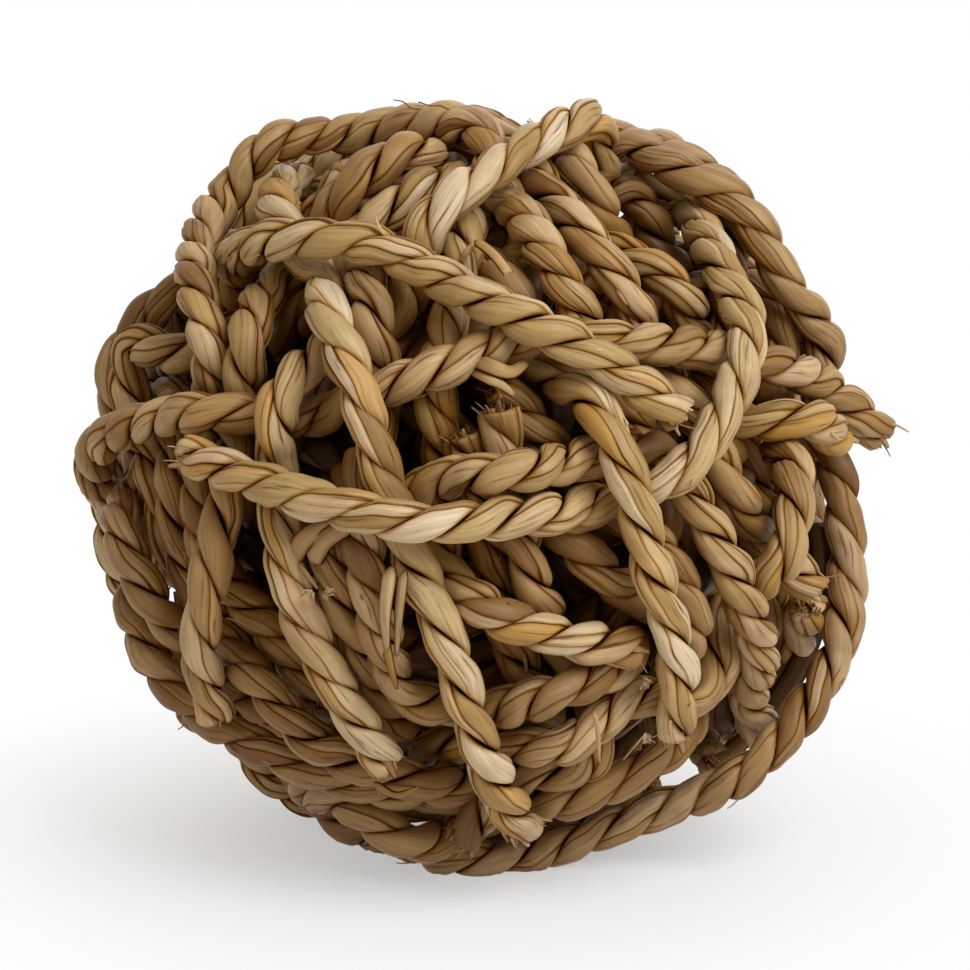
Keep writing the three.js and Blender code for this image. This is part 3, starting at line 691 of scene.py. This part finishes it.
TORN_AND_FOLDED = (
    LooseBlade(
        "upper_inner_rope",
        ((0.5, 31.75, 35.5), (2.75, 30.0, 39.5), (4.75, 27.5, 42.5)),
        width=1.35, tip=0.95, shade=0.95,
    ),
    LooseBlade(
        "upper_inner_rope",
        ((0.5, 31.5, 34.5), (-0.75, 30.25, 35.0), (-1.5, 29.0, 34.5)),
        width=0.9, tip=0.8, shade=0.6,
    ),
    LooseBlade(
        "right_inner_rope",
        ((15.75, -29.25, 39.0), (16.25, -31.5, 38.0), (16.5, -35.75, 34.0)),
        width=0.6, tip=0.3, shade=0.5,
    ),
    LooseBlade(
        "right_inner_rope",
        ((19.5, -35.5, 29.0), (21.0, -33.75, 32.0), (22.5, -32.0, 34.0)),
        width=0.25, tip=1.0, shade=0.9,
    ),
    LooseBlade(
        "lower_left_rope",
        ((-12.75, -38.5, 32.0), (-9.75, -40.0, 33.0), (-7.0, -39.0, 35.5)),
        width=1.6, tip=0.1, shade=1.0,
    ),
    LooseBlade(
        "left_vertical_rope",
        ((-10.5, -10.5, 45.5), (-10.75, -12.25, 47.0), (-11.25, -16.5, 46.0), (-11.0, -21.25, 42.5)),
        width=1.85, tip=0.35, shade=0.78,
    ),
    LooseBlade(
        "left_vertical_rope",
        ((-8.75, -11.0, 45.0), (-9.0, -12.5, 46.5), (-9.5, -17.25, 45.0), (-9.75, -22.0, 42.0)),
        width=1.35, tip=0.35, shade=0.62,
    ),
    LooseBlade(
        "left_vertical_rope",
        ((-11.5, -18.75, 42.0), (-10.5, -23.5, 42.5), (-9.75, -26.25, 40.0)),
        width=1.3, tip=0.35, shade=1.0,
    ),
    LooseBlade(
        "over_the_top_rope",
        ((-7.0, 48.75, 17.5), (-8.0, 49.0, 17.0), (-9.0, 49.75, 16.5), (-10.25, 50.0, 16.5)),
        width=0.25, tip=0.6, shade=0.0,
    ),
    LooseBlade(
        "over_the_top_rope",
        ((-3.0, 48.75, 19.0), (-4.25, 49.25, 18.5), (-5.5, 49.25, 18.0), (-7.0, 49.75, 17.5)),
        width=0.3, tip=0.5, shade=0.0,
    ),
    LooseBlade(
        "middle_band_rope",
        ((0.0, 16.5, 40.0), (2.5, 15.5, 44.5), (5.0, 14.75, 44.0), (7.0, 16.0, 42.0)),
        width=2.4, tip=0.5, shade=0.4,
    ),
    LooseBlade(
        "middle_band_rope",
        ((-0.5, 15.5, 40.5), (2.0, 14.0, 44.5), (4.0, 13.0, 44.5), (5.5, 11.75, 44.0)),
        width=1.9, tip=0.35, shade=0.55,
    ),
    LooseBlade(
        "middle_band_rope",
        ((0.0, 16.0, 40.5), (2.0, 14.5, 44.0), (3.5, 12.5, 44.0), (3.75, 11.25, 44.0)),
        width=1.2, tip=0.3, shade=0.2,
    ),
    LooseBlade(
        "left_vertical_rope",
        ((-23.25, -9.5, 39.0), (-21.5, -6.75, 41.5), (-18.25, -4.75, 42.5)),
        width=2.6, tip=0.8, shade=0.6,
    ),
    LooseBlade(
        "left_vertical_rope",
        ((-20.75, -9.75, 40.5), (-19.0, -7.0, 42.5), (-16.25, -5.25, 43.5)),
        width=2.6, tip=0.8, shade=0.7,
    ),
    LooseBlade(
        "left_vertical_rope",
        ((-22.5, -10.0, 40.0), (-21.5, -11.25, 41.0), (-20.0, -13.25, 40.5)),
        width=0.7, tip=0.5, shade=0.6,
    ),
)
# Dark blades that lie behind the gaps near the rim, where the photograph shows more rope
BEHIND_GAPS = tuple(
    LooseBlade(node, path, width, tip=0.9, shade=shade, faces_camera=True)
    for node, path, width, shade in (
        ("shoulder_rope", ((20.75, 40.25, 4.0), (24.5, 38.5, 4.0), (29.0, 36.5, 4.0)), 2.4, 0.1),
        ("shoulder_rope", ((21.5, 38.0, 3.0), (25.0, 38.25, 3.5), (28.75, 38.25, 3.5)), 2.2, 0.3),
        ("right_rim_rope", ((41.25, 22.25, 4.5), (42.0, 19.5, 4.5), (42.5, 16.25, 4.0)), 2.3, 0.1),
        ("right_end_rope", ((37.25, 5.0, 2.0), (38.25, 1.25, 2.0), (39.0, -2.75, 2.0)), 2.8, 0.1),
        ("right_deep_rim_rope", ((44.75, -4.75, 3.0), (45.25, -9.75, 3.5), (45.0, -16.0, 3.5)), 2.9, 0.1),
        ("right_deep_rim_rope", ((45.0, -16.0, 4.0), (42.0, -23.75, 4.0), (37.5, -30.75, 3.5)), 3.0, 0.1),
        ("right_deep_rim_rope", ((43.75, -16.5, 3.0), (40.75, -23.0, 3.0), (38.25, -31.0, 2.5)), 2.8, 0.4),
        ("right_rim_rope", ((31.0, -36.25, 3.5), (33.5, -34.25, 3.5), (35.75, -32.25, 4.0)), 2.4, 0.1),
        ("left_outer_rope", ((-35.75, -19.0, 3.0), (-37.25, -16.0, 3.0), (-37.75, -13.5, 3.0)), 2.4, 0.2),
        ("bottom_left_rope", ((-10.5, -41.25, 3.0), (-6.5, -42.0, 2.5), (-2.25, -43.25, 3.0)), 2.4, 0.1),
        ("bottom_left_rope", ((-10.75, -42.75, 1.5), (-6.5, -42.5, 2.0), (-2.0, -41.75, 2.0)), 2.0, 0.3),
        ("bottom_left_rope", ((0.25, -45.25, 3.0), (5.0, -45.0, 3.0), (12.5, -43.0, 3.0)), 2.6, 0.1),
    )
)
LOOSE_BLADES = TORN_AND_FOLDED + BEHIND_GAPS


@dataclass(frozen=True)
class Tuft:
    """A pale torn tip: a node, a place and the way that its slivers splay from. Millimetres."""

    node: str
    place: tuple[float, float, float]
    way: tuple[float, float, float]


TUFTS = (
    Tuft("left_inner_rope", (-20.75, -13.75, 42.5), (-0.6, -0.6, -0.5)),
    Tuft("left_inner_rope", (-19.0, -14.0, 42.5), (0.3, -0.7, 0.4)),
    Tuft("right_vertical_rope", (22.5, -32.25, 29.5), (0.2, -0.5, -0.8)),
    Tuft("right_inner_rope", (22.25, -25.0, 35.5), (0.5, -0.6, -0.6)),
)


@dataclass(frozen=True)
class TornGrass:
    """One kind of torn grass: the least and most of each measure. Lengths are in millimetres.

    The splay is how far it leans out, and the curl how far it bends, as shares of its length.
    """

    splay: tuple[float, float]
    length: tuple[float, float]
    width: tuple[float, float]
    curl: tuple[float, float]
    count: tuple[int, int] = (1, 2)
    off_axis: tuple[float, float] = (0.0, 0.0)
    behind: tuple[float, float] = (0.0, 0.0)


STUBBLE = TornGrass(
    splay=(-0.2, 0.3),
    length=(0.6, 1.5),
    width=(0.35, 0.9),
    curl=(-0.3, 0.3),
    count=(14, 22),
    off_axis=(0.1, 1.9),
    behind=(0.3, 0.8),
)
TORN_BLADES = TornGrass(
    splay=(0.0, 0.4),
    length=(1.8, 3.2),
    width=(0.7, 1.3),
    curl=(-0.2, 0.4),
    count=(3, 6),
    off_axis=(0.6, 1.9),
    behind=(1.0, 2.0),
)
FIBRES = TornGrass(
    splay=(0.1, 0.8),
    length=(1.5, 3.8),
    width=(0.12, 0.25),
    curl=(-0.5, 0.5),
    count=(2, 5),
    off_axis=(0.3, 1.8),
    behind=(0.5, 2.0),
)
TUFT_SLIVERS = TornGrass(
    splay=(0.1, 0.9),
    length=(0.5, 1.1),
    width=(0.25, 0.5),
    curl=(-0.8, 0.8),
    count=(12, 16),
    off_axis=(0.0, 0.4),
)
PEELS = TornGrass(splay=(0.15, 0.6), length=(1.0, 2.6), width=(0.2, 0.6), curl=(-0.5, 0.3))


@dataclass(frozen=True)
class StripShape:
    """The shape of a loose strip of grass, which is folded a little along its middle.

    Shares are of the strip's width, or of its length for the drift. A strip that is wide enough, in
    millimetres, has a dark line along its edges.
    """

    rings: int = 8
    rings_per_place: int = 4
    tuft_rings: int = 6
    fold_and_crease_shade: float = 0.36
    thinness: float = 7.0
    least_thickness: float = 0.1
    taper: float = 0.55
    tuft_taper: float = 0.5
    drift: float = 0.25
    start_width: float = 0.45
    start_widening: float = 6.0
    lined_from: float = 1.0
    tuft_shade: float = 0.8


STRIP = StripShape()
# How evenly the blades' shades spread, how far apart in the grain two blades may be taken, in
# millimetres, and how many steps a rope's turns are counted in
SHADE_SPREAD = 1.7
GRAIN_SPREAD = 500
LINE_STEPS = 400
# Millimetres to one turn, for the ropes whose lay the photograph shows clearly
PITCHES = {
    "left_rim_rope": 9.6,
    "over_the_top_rope": 9.8,
    "front_band_rope": 12.5,
    "upper_diagonal_rope": 11.6,
    "right_vertical_rope": 14.2,
    "long_diagonal_rope": 14.2,
}
OUTER_LAY = RopeLay()
CORE_LAY = RopeLay(diameter=6.0, face=(0, 24, 46, 66, 82), inside=4, blades=4)


@dataclass
class Rope:
    """One length of rope along a CAD tube."""

    node: str
    tone: Tone
    lay: RopeLay
    seed: int
    curve: Curve = field(init=False)
    line: Line = field(init=False)
    random: np.random.Generator = field(init=False)
    grass: GrassMesh = field(default_factory=GrassMesh)

    def __post_init__(self) -> None:
        """Reads the tube's line, and takes one place on it for each column that the rope turns."""
        self.random = np.random.default_rng(SEED + self.seed)
        self.curve = Curve.through(tube_centres(frame["nodes"][self.node]))
        places = np.linspace(0, self.curve.length, LINE_STEPS)
        pitch = PITCHES.get(self.node, self.lay.pitch * self.random.uniform(*self.lay.pitch_spread))
        pitch = pitch * (1 + Wander.seeded(self.random, *self.lay.pitch_sway).at(places))
        columns = len(self.lay.outline()[0]) - 1
        rings = np.concatenate([[0], np.cumsum(np.diff(places) / pitch[1:])]) * columns
        self.line = self.curve.line_at(np.interp(np.arange(math.floor(rings[-1]) + 1), rings, places))

    def build(self, loose_from: float, centre: np.ndarray) -> bpy.types.Object:
        """Builds the rope.

        Args:
            loose_from: How far from the ball's centre an end lies bare.
            centre: The ball's centre.

        Returns:
            The rope's object.
        """
        start = self.random.uniform(0, 2 * math.pi)
        sway = Wander.seeded(self.random, *self.lay.diameter_sway).at(self.line.along)
        radius = self.lay.diameter / 2 * (1 + sway)
        for ply in range(2):
            self.lay_ply(start + ply * math.pi, radius)
        for end in End:
            if np.linalg.norm(self.line.points[end.value] - centre) > loose_from:
                self.fray(end)
        self.peel(radius)
        for loose in LOOSE_BLADES:
            if loose.node == self.node:
                self.add_loose(loose, centre)
        for tuft in TUFTS:
            if tuft.node == self.node:
                self.add_tuft(tuft)
        return self.grass.build(self.node.replace("_rope", "_seagrass_rope"))

    def draw_looks(self, turns: int) -> tuple[np.ndarray, np.ndarray, np.ndarray]:
        """Draws the looks of a ply's blades, anew for each time that they come round to its face.

        Args:
            turns: How many times the blades come round.

        Returns:
            The shade from 0 to 1, the lift and how deep the crease beside the blade is cleft, by turn
            and blade. Where there is no crease, the blade is one with the blade before it.
        """
        lay, random = self.lay, self.random
        split = random.random((turns, lay.blades)) < lay.split_share
        split[:, 0] = True
        order = np.arange(split.size)
        first = np.maximum.accumulate(np.where(split.reshape(-1), order, 0)).reshape(split.shape)
        shade = random.beta(SHADE_SPREAD, SHADE_SPREAD, split.size)
        golden = random.random(split.size) < lay.golden_share
        shade = np.where(golden, random.uniform(*lay.golden, split.size), shade)[first]
        lift = random.uniform(-1.0, 1.0, split.size)[first] * lay.blade_lift
        cleft = np.where(split, random.uniform(*lay.cleft, split.shape), 0.0)
        return shade, lift, cleft

    def blade_columns(self, columns: int) -> tuple[np.ndarray, np.ndarray, np.ndarray, np.ndarray]:
        """Shares a ply's columns among its blades, with two columns close together at every blade's edge.

        Args:
            columns: How many columns go round the ply.

        Returns:
            Each column's place, its blade, its share of the way across that blade, which is below 0
            in the crease beside the blade, and the blade's width in columns.
        """
        lay = self.lay
        cuts = self.random.choice(np.arange(columns // lay.least_blade), lay.blades, replace=False)
        cuts = np.sort(cuts) * lay.least_blade
        widths = np.diff([*cuts, cuts[0] + columns])
        places, blades, shares = [], [], []
        for blade, (cut, width) in enumerate(zip(cuts, widths)):
            across = np.linspace(0, 1, width)[: width - 1]
            places += [cut, *(cut + lay.edge_place + across * (width - lay.edge_place))]
            blades += [blade] * width
            shares += [-1.0, *across]
        return np.array(places, float), np.array(blades), np.array(shares), np.repeat(widths, widths)

    def lay_ply(self, start: float, radius: np.ndarray) -> None:
        """Lays one ply of blades along the line.

        Args:
            start: The ply's angle round the rope where it starts.
            radius: The rope's radius at each ring.
        """
        lay, line, random = self.lay, self.line, self.random
        out, sideways, notch = lay.outline()
        columns = len(out) - 1
        count = len(line.along)
        places, blades, shares, widths = self.blade_columns(columns)
        ring = np.arange(count)[:, None]
        turns = ((places[None, :] + ring + lay.inside / 2) // columns).astype(int)
        shade, lift, cleft = self.draw_looks(turns.max() + 1)
        last = (blades == lay.blades - 1).astype(int)
        own_cleft = cleft[turns, blades]
        next_cleft = cleft[turns - last, (blades + 1) % lay.blades]
        across = np.clip(shares, 0, 1)
        profile = lay.blade_edge * (own_cleft * (1 - across) - lay.blade_fall * next_cleft * across)
        profile += lay.blade_bulge * np.sin(math.pi * across)
        heights = lift[turns, blades] + np.where(shares < 0, -own_cleft * lay.crease_depth, profile)
        radius = radius * (1 + Wander.seeded(random, *lay.ply_swell).at(line.along))
        on_outline = (places[None, :] + ring) % columns
        steps = np.arange(columns + 1)
        ply_out = np.interp(on_outline, steps, out)
        ply_side = np.interp(on_outline, steps, sideways)
        from_notch = np.interp(on_outline, steps, notch) * radius[:, None]
        away = np.stack([ply_out - lay.ply_middle, ply_side], axis=-1)
        away /= np.linalg.norm(away, axis=-1)[..., None]
        raised = heights * np.clip(from_notch / lay.notch_flat, 0.0, 1.0)
        ply_out = ply_out * radius[:, None] + raised * away[..., 0]
        ply_side = ply_side * radius[:, None] + raised * away[..., 1]
        turn = start - 2 * math.pi * np.arange(count) / columns
        turn = turn + Wander.seeded(random, *lay.ply_sway).at(line.along)
        way_out = np.cos(turn)[:, None] * line.side + np.sin(turn)[:, None] * line.up
        way_round = -np.sin(turn)[:, None] * line.side + np.cos(turn)[:, None] * line.up
        rings = (
            line.points[:, None, :]
            + ply_out[..., None] * way_out[:, None, :]
            + ply_side[..., None] * way_round[:, None, :]
        )
        self.cut_ragged(rings, blades)
        column_width = math.pi * lay.diameter / 2 / (columns - lay.inside)
        # The crease distance, from the notch and from the blades' creases, sets where the finish paints shade
        crease = from_notch * lay.notch_line
        open_width = widths - lay.edge_place
        past_edge = np.where(shares < 0, 0.0, lay.edge_place + across * open_width)
        short_of_next = (1.0 - across) * open_width
        for off, depth in ((past_edge, own_cleft), (short_of_next, next_cleft)):
            faint = np.maximum(0.0, 1.0 - depth) * lay.faint_crease
            line_off = off * column_width * lay.blade_line + faint
            crease = np.where(depth > 0, np.minimum(crease, line_off), crease)
        grain = np.append(places, places[0] + columns) * column_width + random.uniform(0, GRAIN_SPREAD)
        shades = shade[turns, blades][1:]
        along = line.along + random.uniform(0, GRAIN_SPREAD)
        self.grass.add_tube(rings, crease, grain, along, shades)

    def cut_ragged(self, rings: np.ndarray, blades: np.ndarray) -> None:
        """Makes the blades of a ply's two ends uneven.

        Args:
            rings: The ply's places by ring and column, which are moved.
            blades: The blade that each column is part of.
        """
        for end, way in ((End.START, -1.0), (End.FINISH, 1.0)):
            reach = self.random.uniform(*self.lay.ragged, self.lay.blades)[blades]
            forward = self.line.forward[end.value] * way
            for back, share in enumerate(self.lay.ragged_rings):
                ring = back if end is End.START else -1 - back
                rings[ring] += share * reach[:, None] * forward

    def fray(self, end: End) -> None:
        """Splays loose blades and fibres out of a bare end.

        Args:
            end: Which end is bare.
        """
        random = self.random
        tip = self.line.points[end.value]
        forward = self.line.forward[end.value] * (-1 if end is End.START else 1)
        side, up = self.line.side[end.value], self.line.up[end.value]
        for kind in (STUBBLE, TORN_BLADES, FIBRES):
            for _ in range(random.integers(*kind.count)):
                turn = random.uniform(0, 2 * math.pi)
                out = math.cos(turn) * side + math.sin(turn) * up
                root = tip - forward * random.uniform(*kind.behind) + out * random.uniform(*kind.off_axis)
                self.add_blade(root, forward, out, kind)

    def peel(self, radius: np.ndarray) -> None:
        """Lifts a torn sliver off the rope's face here and there.

        Args:
            radius: The rope's radius at each ring.
        """
        random, line = self.random, self.line
        for _ in range(int(self.curve.length / self.lay.peel_every)):
            ring = random.integers(len(radius))
            turn = random.uniform(0, 2 * math.pi)
            out = math.cos(turn) * line.side[ring] + math.sin(turn) * line.up[ring]
            root = line.points[ring] + out * radius[ring] * self.lay.peel_height
            self.add_blade(root, line.forward[ring] * random.choice((-1, 1)), out, PEELS)

    def add_blade(self, root: np.ndarray, forward: np.ndarray, out: np.ndarray, kind: TornGrass) -> None:
        """Adds one loose blade or fibre, of a size and lean drawn by chance.

        Args:
            root: Where it starts.
            forward: The direction that it starts in, before it leans out.
            out: The direction that it leans in and that its face is turned to.
            kind: What it is.
        """
        random = self.random
        way = forward + out * random.uniform(*kind.splay)
        length, width = random.uniform(*kind.length), random.uniform(*kind.width)
        curl = random.uniform(*kind.curl)
        share = np.linspace(0, 1, STRIP.rings)
        way = way / np.linalg.norm(way)
        face = out - way * out.dot(way)
        face /= np.linalg.norm(face)
        edge = np.cross(way, face)
        drift = random.uniform(-STRIP.drift, STRIP.drift)
        bend = curl * face + drift * edge
        path = root + length * (share[:, None] * way + share[:, None] ** 2 * bend)
        shade = random.beta(SHADE_SPREAD, SHADE_SPREAD)
        self.add_strip(path, face, width * (1 - STRIP.taper * share**2), shade)

    def add_strip(self, path: np.ndarray, out: np.ndarray, widths: np.ndarray, shade: float) -> None:
        """Adds a flat strip of grass along a path.

        Args:
            path: The places that it passes.
            out: The direction that its face is turned to.
            widths: Its width at each place.
            shade: Its shade, from 0 to 1.
        """
        forward = np.gradient(path, axis=0)
        forward /= np.linalg.norm(forward, axis=1)[:, None]
        edge = np.cross(forward, out)
        edge /= np.linalg.norm(edge, axis=1)[:, None]
        face = np.cross(edge, forward)
        half = widths[:, None] / 2
        thick = np.maximum(STRIP.least_thickness, widths / STRIP.thinness)[:, None] / 2
        upper = [(-1, 0, 1), (0, STRIP.fold_and_crease_shade, 1), (1, 0, 1)]
        section = [(x, y, -z) for x, y, z in upper] + upper[::-1]
        rings = np.stack(
            [path + half * x * edge + (half * y + z * thick) * face for x, y, z in section],
            axis=1,
        )
        sideways = np.array([x for x, _, _ in section + section[:1]])
        across = (1 + sideways) / 2 * widths.max() + self.random.uniform(0, GRAIN_SPREAD)
        along = np.linspace(0, np.linalg.norm(path[-1] - path[0]), len(path))
        shades = np.full((len(path) - 1, len(section)), shade)
        crease = np.ones(rings.shape[:2])
        # A wide strip's edges get crease distance 0, so the finish paints its dark crease line and crease
        # shade along them
        if widths.max() > STRIP.lined_from:
            crease[:, sideways[:-1] != 0] = 0.0
        self.grass.add_tube(rings, crease, across, along, shades)

    def add_loose(self, loose: LooseBlade, centre: np.ndarray) -> None:
        """Adds a blade that has come loose.

        Args:
            loose: The blade.
            centre: The ball's centre.
        """
        curve = Curve.through(np.array([seen_at(place) for place in loose.path]))
        share = np.linspace(0, 1, STRIP.rings_per_place * len(loose.path))
        path = curve.line_at(share * curve.length).points
        out = TO_CAMERA if loose.faces_camera else path.mean(axis=0) - centre
        opened = np.clip(STRIP.start_width + STRIP.start_widening * share, 0.0, 1.0)
        narrow = (1 - (1 - loose.tip) * share**2) * opened
        self.add_strip(path, out, loose.width * narrow, loose.shade)

    def add_tuft(self, tuft: Tuft) -> None:
        """Adds a pale torn tip.

        Args:
            tuft: The tip.
        """
        random = self.random
        way = np.array(tuft.way) / np.linalg.norm(tuft.way)
        share = np.linspace(0, 1, STRIP.tuft_rings)
        kind = TUFT_SLIVERS
        for _ in range(random.integers(*kind.count)):
            off = np.cross(way, random.normal(size=3))
            off /= np.linalg.norm(off)
            root = seen_at(tuft.place) + off * random.uniform(*kind.off_axis)
            aim = way + off * random.uniform(*kind.splay)
            bend = np.cross(aim, off) * random.uniform(*kind.curl)
            length = random.uniform(*kind.length)
            path = root + length * (share[:, None] * aim + share[:, None] ** 2 * bend)
            width = random.uniform(*kind.width)
            self.add_strip(path, off, width * (1 - STRIP.tuft_taper * share), STRIP.tuft_shade)

    def dress(self, piece: bpy.types.Object, materials: dict[Tone, bpy.types.Material]) -> None:
        """Gives the rope its material and its place in the model.

        Args:
            piece: The rope's object.
            materials: The finished grass of each tone.
        """
        piece.data.materials.append(materials[self.tone])
        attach(piece, "root")
        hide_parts(self.node)


@dataclass
class RopeBall:
    """The whole ball: its core windings and the ropes wound over them."""

    core_prefix: str = "core_"
    loose_from: float = 30.0

    def build(self) -> list[bpy.types.Object]:
        """Builds and dresses every rope.

        Returns:
            The ropes' objects.
        """
        materials = {tone: finish.build() for tone, finish in FINISHES.items()}
        slots = {part["node"]: part["material_slot"] for part in frame["record"]["subparts"]}
        low, high = CAD_BOX
        centre = np.array((low + high) / 2) / MM
        made = []
        for seed, node in enumerate(sorted(frame["nodes"])):
            lay = CORE_LAY if node.startswith(self.core_prefix) else OUTER_LAY
            rope = Rope(node, Tone(slots[node]), lay, seed)
            piece = rope.build(self.loose_from, centre)
            rope.dress(piece, materials)
            faces = len(piece.data.polygons)
            LOG.info("%s: %.0f mm of rope, %d faces", piece.name, rope.line.along[-1], faces)
            made.append(piece)
        return made


@dataclass(frozen=True)
class Lamp:
    """A square soft lamp: where it hangs and the length of its side in metres, and its watts."""

    name: str
    place: tuple[float, float, float]
    size: float
    power: float


LAMPS = (
    Lamp("key_lamp", (0.36, -0.42, 0.55), 0.5, 5.45),
    Lamp("fill_lamp", (-0.5, -0.45, 0.25), 0.6, 0.28),
    Lamp("back_lamp", (0.1, 0.6, 0.5), 0.5, 1.2),
)


@dataclass(frozen=True)
class Studio:
    """A pale floor, soft lamps and the camera at the photograph's angle. Metres."""

    half_frame: float = 0.0628
    frame_offset: tuple[float, float] = (0.00155, 0.00013)
    clip_start: float = 0.01
    floor_size: float = 6.0
    floor_colour: str = "#f4f4f2"
    floor_fade: tuple[float, float] = (0.01, 0.095)
    white_near: float = 0.45
    light_level: float = 0.335
    light_colour: str = "#ffe4b2"
    lamp_colour: str = "#e6f0ff"

    def build(self) -> None:
        """Builds the floor, the lamps, the sky and the camera."""
        self.build_floor()
        for lamp in LAMPS:
            self.hang(lamp)
        self.build_world()
        self.build_camera()
        bpy.context.scene.view_settings.view_transform = "Standard"

    def build_floor(self) -> None:
        """Lays the floor of matt paper, which has no gloss, fades to white and keeps the ball's shadow."""
        bpy.ops.object.select_all(action="DESELECT")
        bpy.ops.mesh.primitive_plane_add(size=self.floor_size)
        floor = bpy.context.active_object
        floor.name = "studio_floor"
        material = bpy.data.materials.new("matt_white_paper")
        material.use_nodes = True
        tree = material.node_tree
        tree.nodes.clear()
        paper = add_node(tree, "ShaderNodeBsdfDiffuse", inputs={"Color": linear(self.floor_colour)})
        white = add_node(tree, "ShaderNodeEmission", inputs={"Strength": 1.0})
        place = add_node(tree, "ShaderNodeTexCoord")
        off = add_node(
            tree, "ShaderNodeVectorMath", operation="LENGTH", inputs={0: place.outputs["Object"]}
        )
        far = add_node(
            tree,
            "ShaderNodeMapRange",
            interpolation_type="SMOOTHSTEP",
            inputs={
                "Value": off.outputs["Value"],
                "From Min": self.floor_fade[0],
                "From Max": self.floor_fade[1],
                "To Min": self.white_near,
            },
        )
        seen = add_node(
            tree,
            "ShaderNodeMath",
            operation="MULTIPLY",
            inputs={0: far.outputs["Result"], 1: straight_rays(tree)},
        )
        mixed = add_node(
            tree,
            "ShaderNodeMixShader",
            inputs={0: seen.outputs["Value"], 1: paper.outputs["BSDF"], 2: white.outputs["Emission"]},
        )
        add_node(tree, "ShaderNodeOutputMaterial", inputs={"Surface": mixed.outputs["Shader"]})
        floor.data.materials.append(material)

    def hang(self, lamp: Lamp) -> None:
        """Hangs a lamp that faces the ball.

        Args:
            lamp: The lamp.
        """
        data = bpy.data.lights.new(lamp.name, "AREA")
        data.size = lamp.size
        data.energy = lamp.power
        data.color = linear(self.lamp_colour)[:3]
        hung = bpy.data.objects.new(lamp.name, data)
        hung.location = lamp.place
        hung.rotation_euler = (Vector(BALL_CENTRE) - hung.location).to_track_quat("-Z", "Y").to_euler()
        bpy.context.scene.collection.objects.link(hung)

    def build_world(self) -> None:
        """Lights the scene from all round at a low level, and shows white to the camera."""
        world = bpy.data.worlds.new("studio_white")
        bpy.context.scene.world = world
        world.use_nodes = True
        tree = world.node_tree
        tree.nodes.clear()
        seen = straight_rays(tree)
        strength = add_node(
            tree,
            "ShaderNodeMapRange",
            inputs={"Value": seen, "To Min": self.light_level, "To Max": 1.0},
        )
        colour = add_node(
            tree,
            "ShaderNodeMix",
            data_type="RGBA",
            inputs={"Factor": seen, 6: linear(self.light_colour), 7: linear("#ffffff")},
        )
        sky = add_node(
            tree,
            "ShaderNodeBackground",
            inputs={"Color": colour.outputs[2], "Strength": strength.outputs["Result"]},
        )
        add_node(tree, "ShaderNodeOutputWorld", inputs={"Surface": sky.outputs["Background"]})

    def build_camera(self) -> None:
        """Puts the camera where the photograph was taken from."""
        data = bpy.data.cameras.new("photograph_camera")
        data.lens = data.sensor_width / 2 * VIEW_DISTANCE / self.half_frame
        data.clip_start = self.clip_start
        camera = bpy.data.objects.new("photograph_camera", data)
        back = Vector(TO_CAMERA)
        across, up = self.frame_offset
        aim = Vector(BALL_CENTRE) + Vector((across, 0.0, 0.0)) + Vector(PICTURE_UP) * up
        camera.location = aim + back * VIEW_DISTANCE
        camera.rotation_euler = (-back).to_track_quat("-Z", "Y").to_euler()
        bpy.context.scene.collection.objects.link(camera)
        bpy.context.scene.camera = camera


def main() -> None:
    """Builds the ball and its studio."""
    logging.basicConfig(level=logging.INFO, format="%(message)s")
    ropes = RopeBall().build()
    LOG.info("%d ropes", len(ropes))
    Studio().build()


if __name__ == "__main__":
    main()
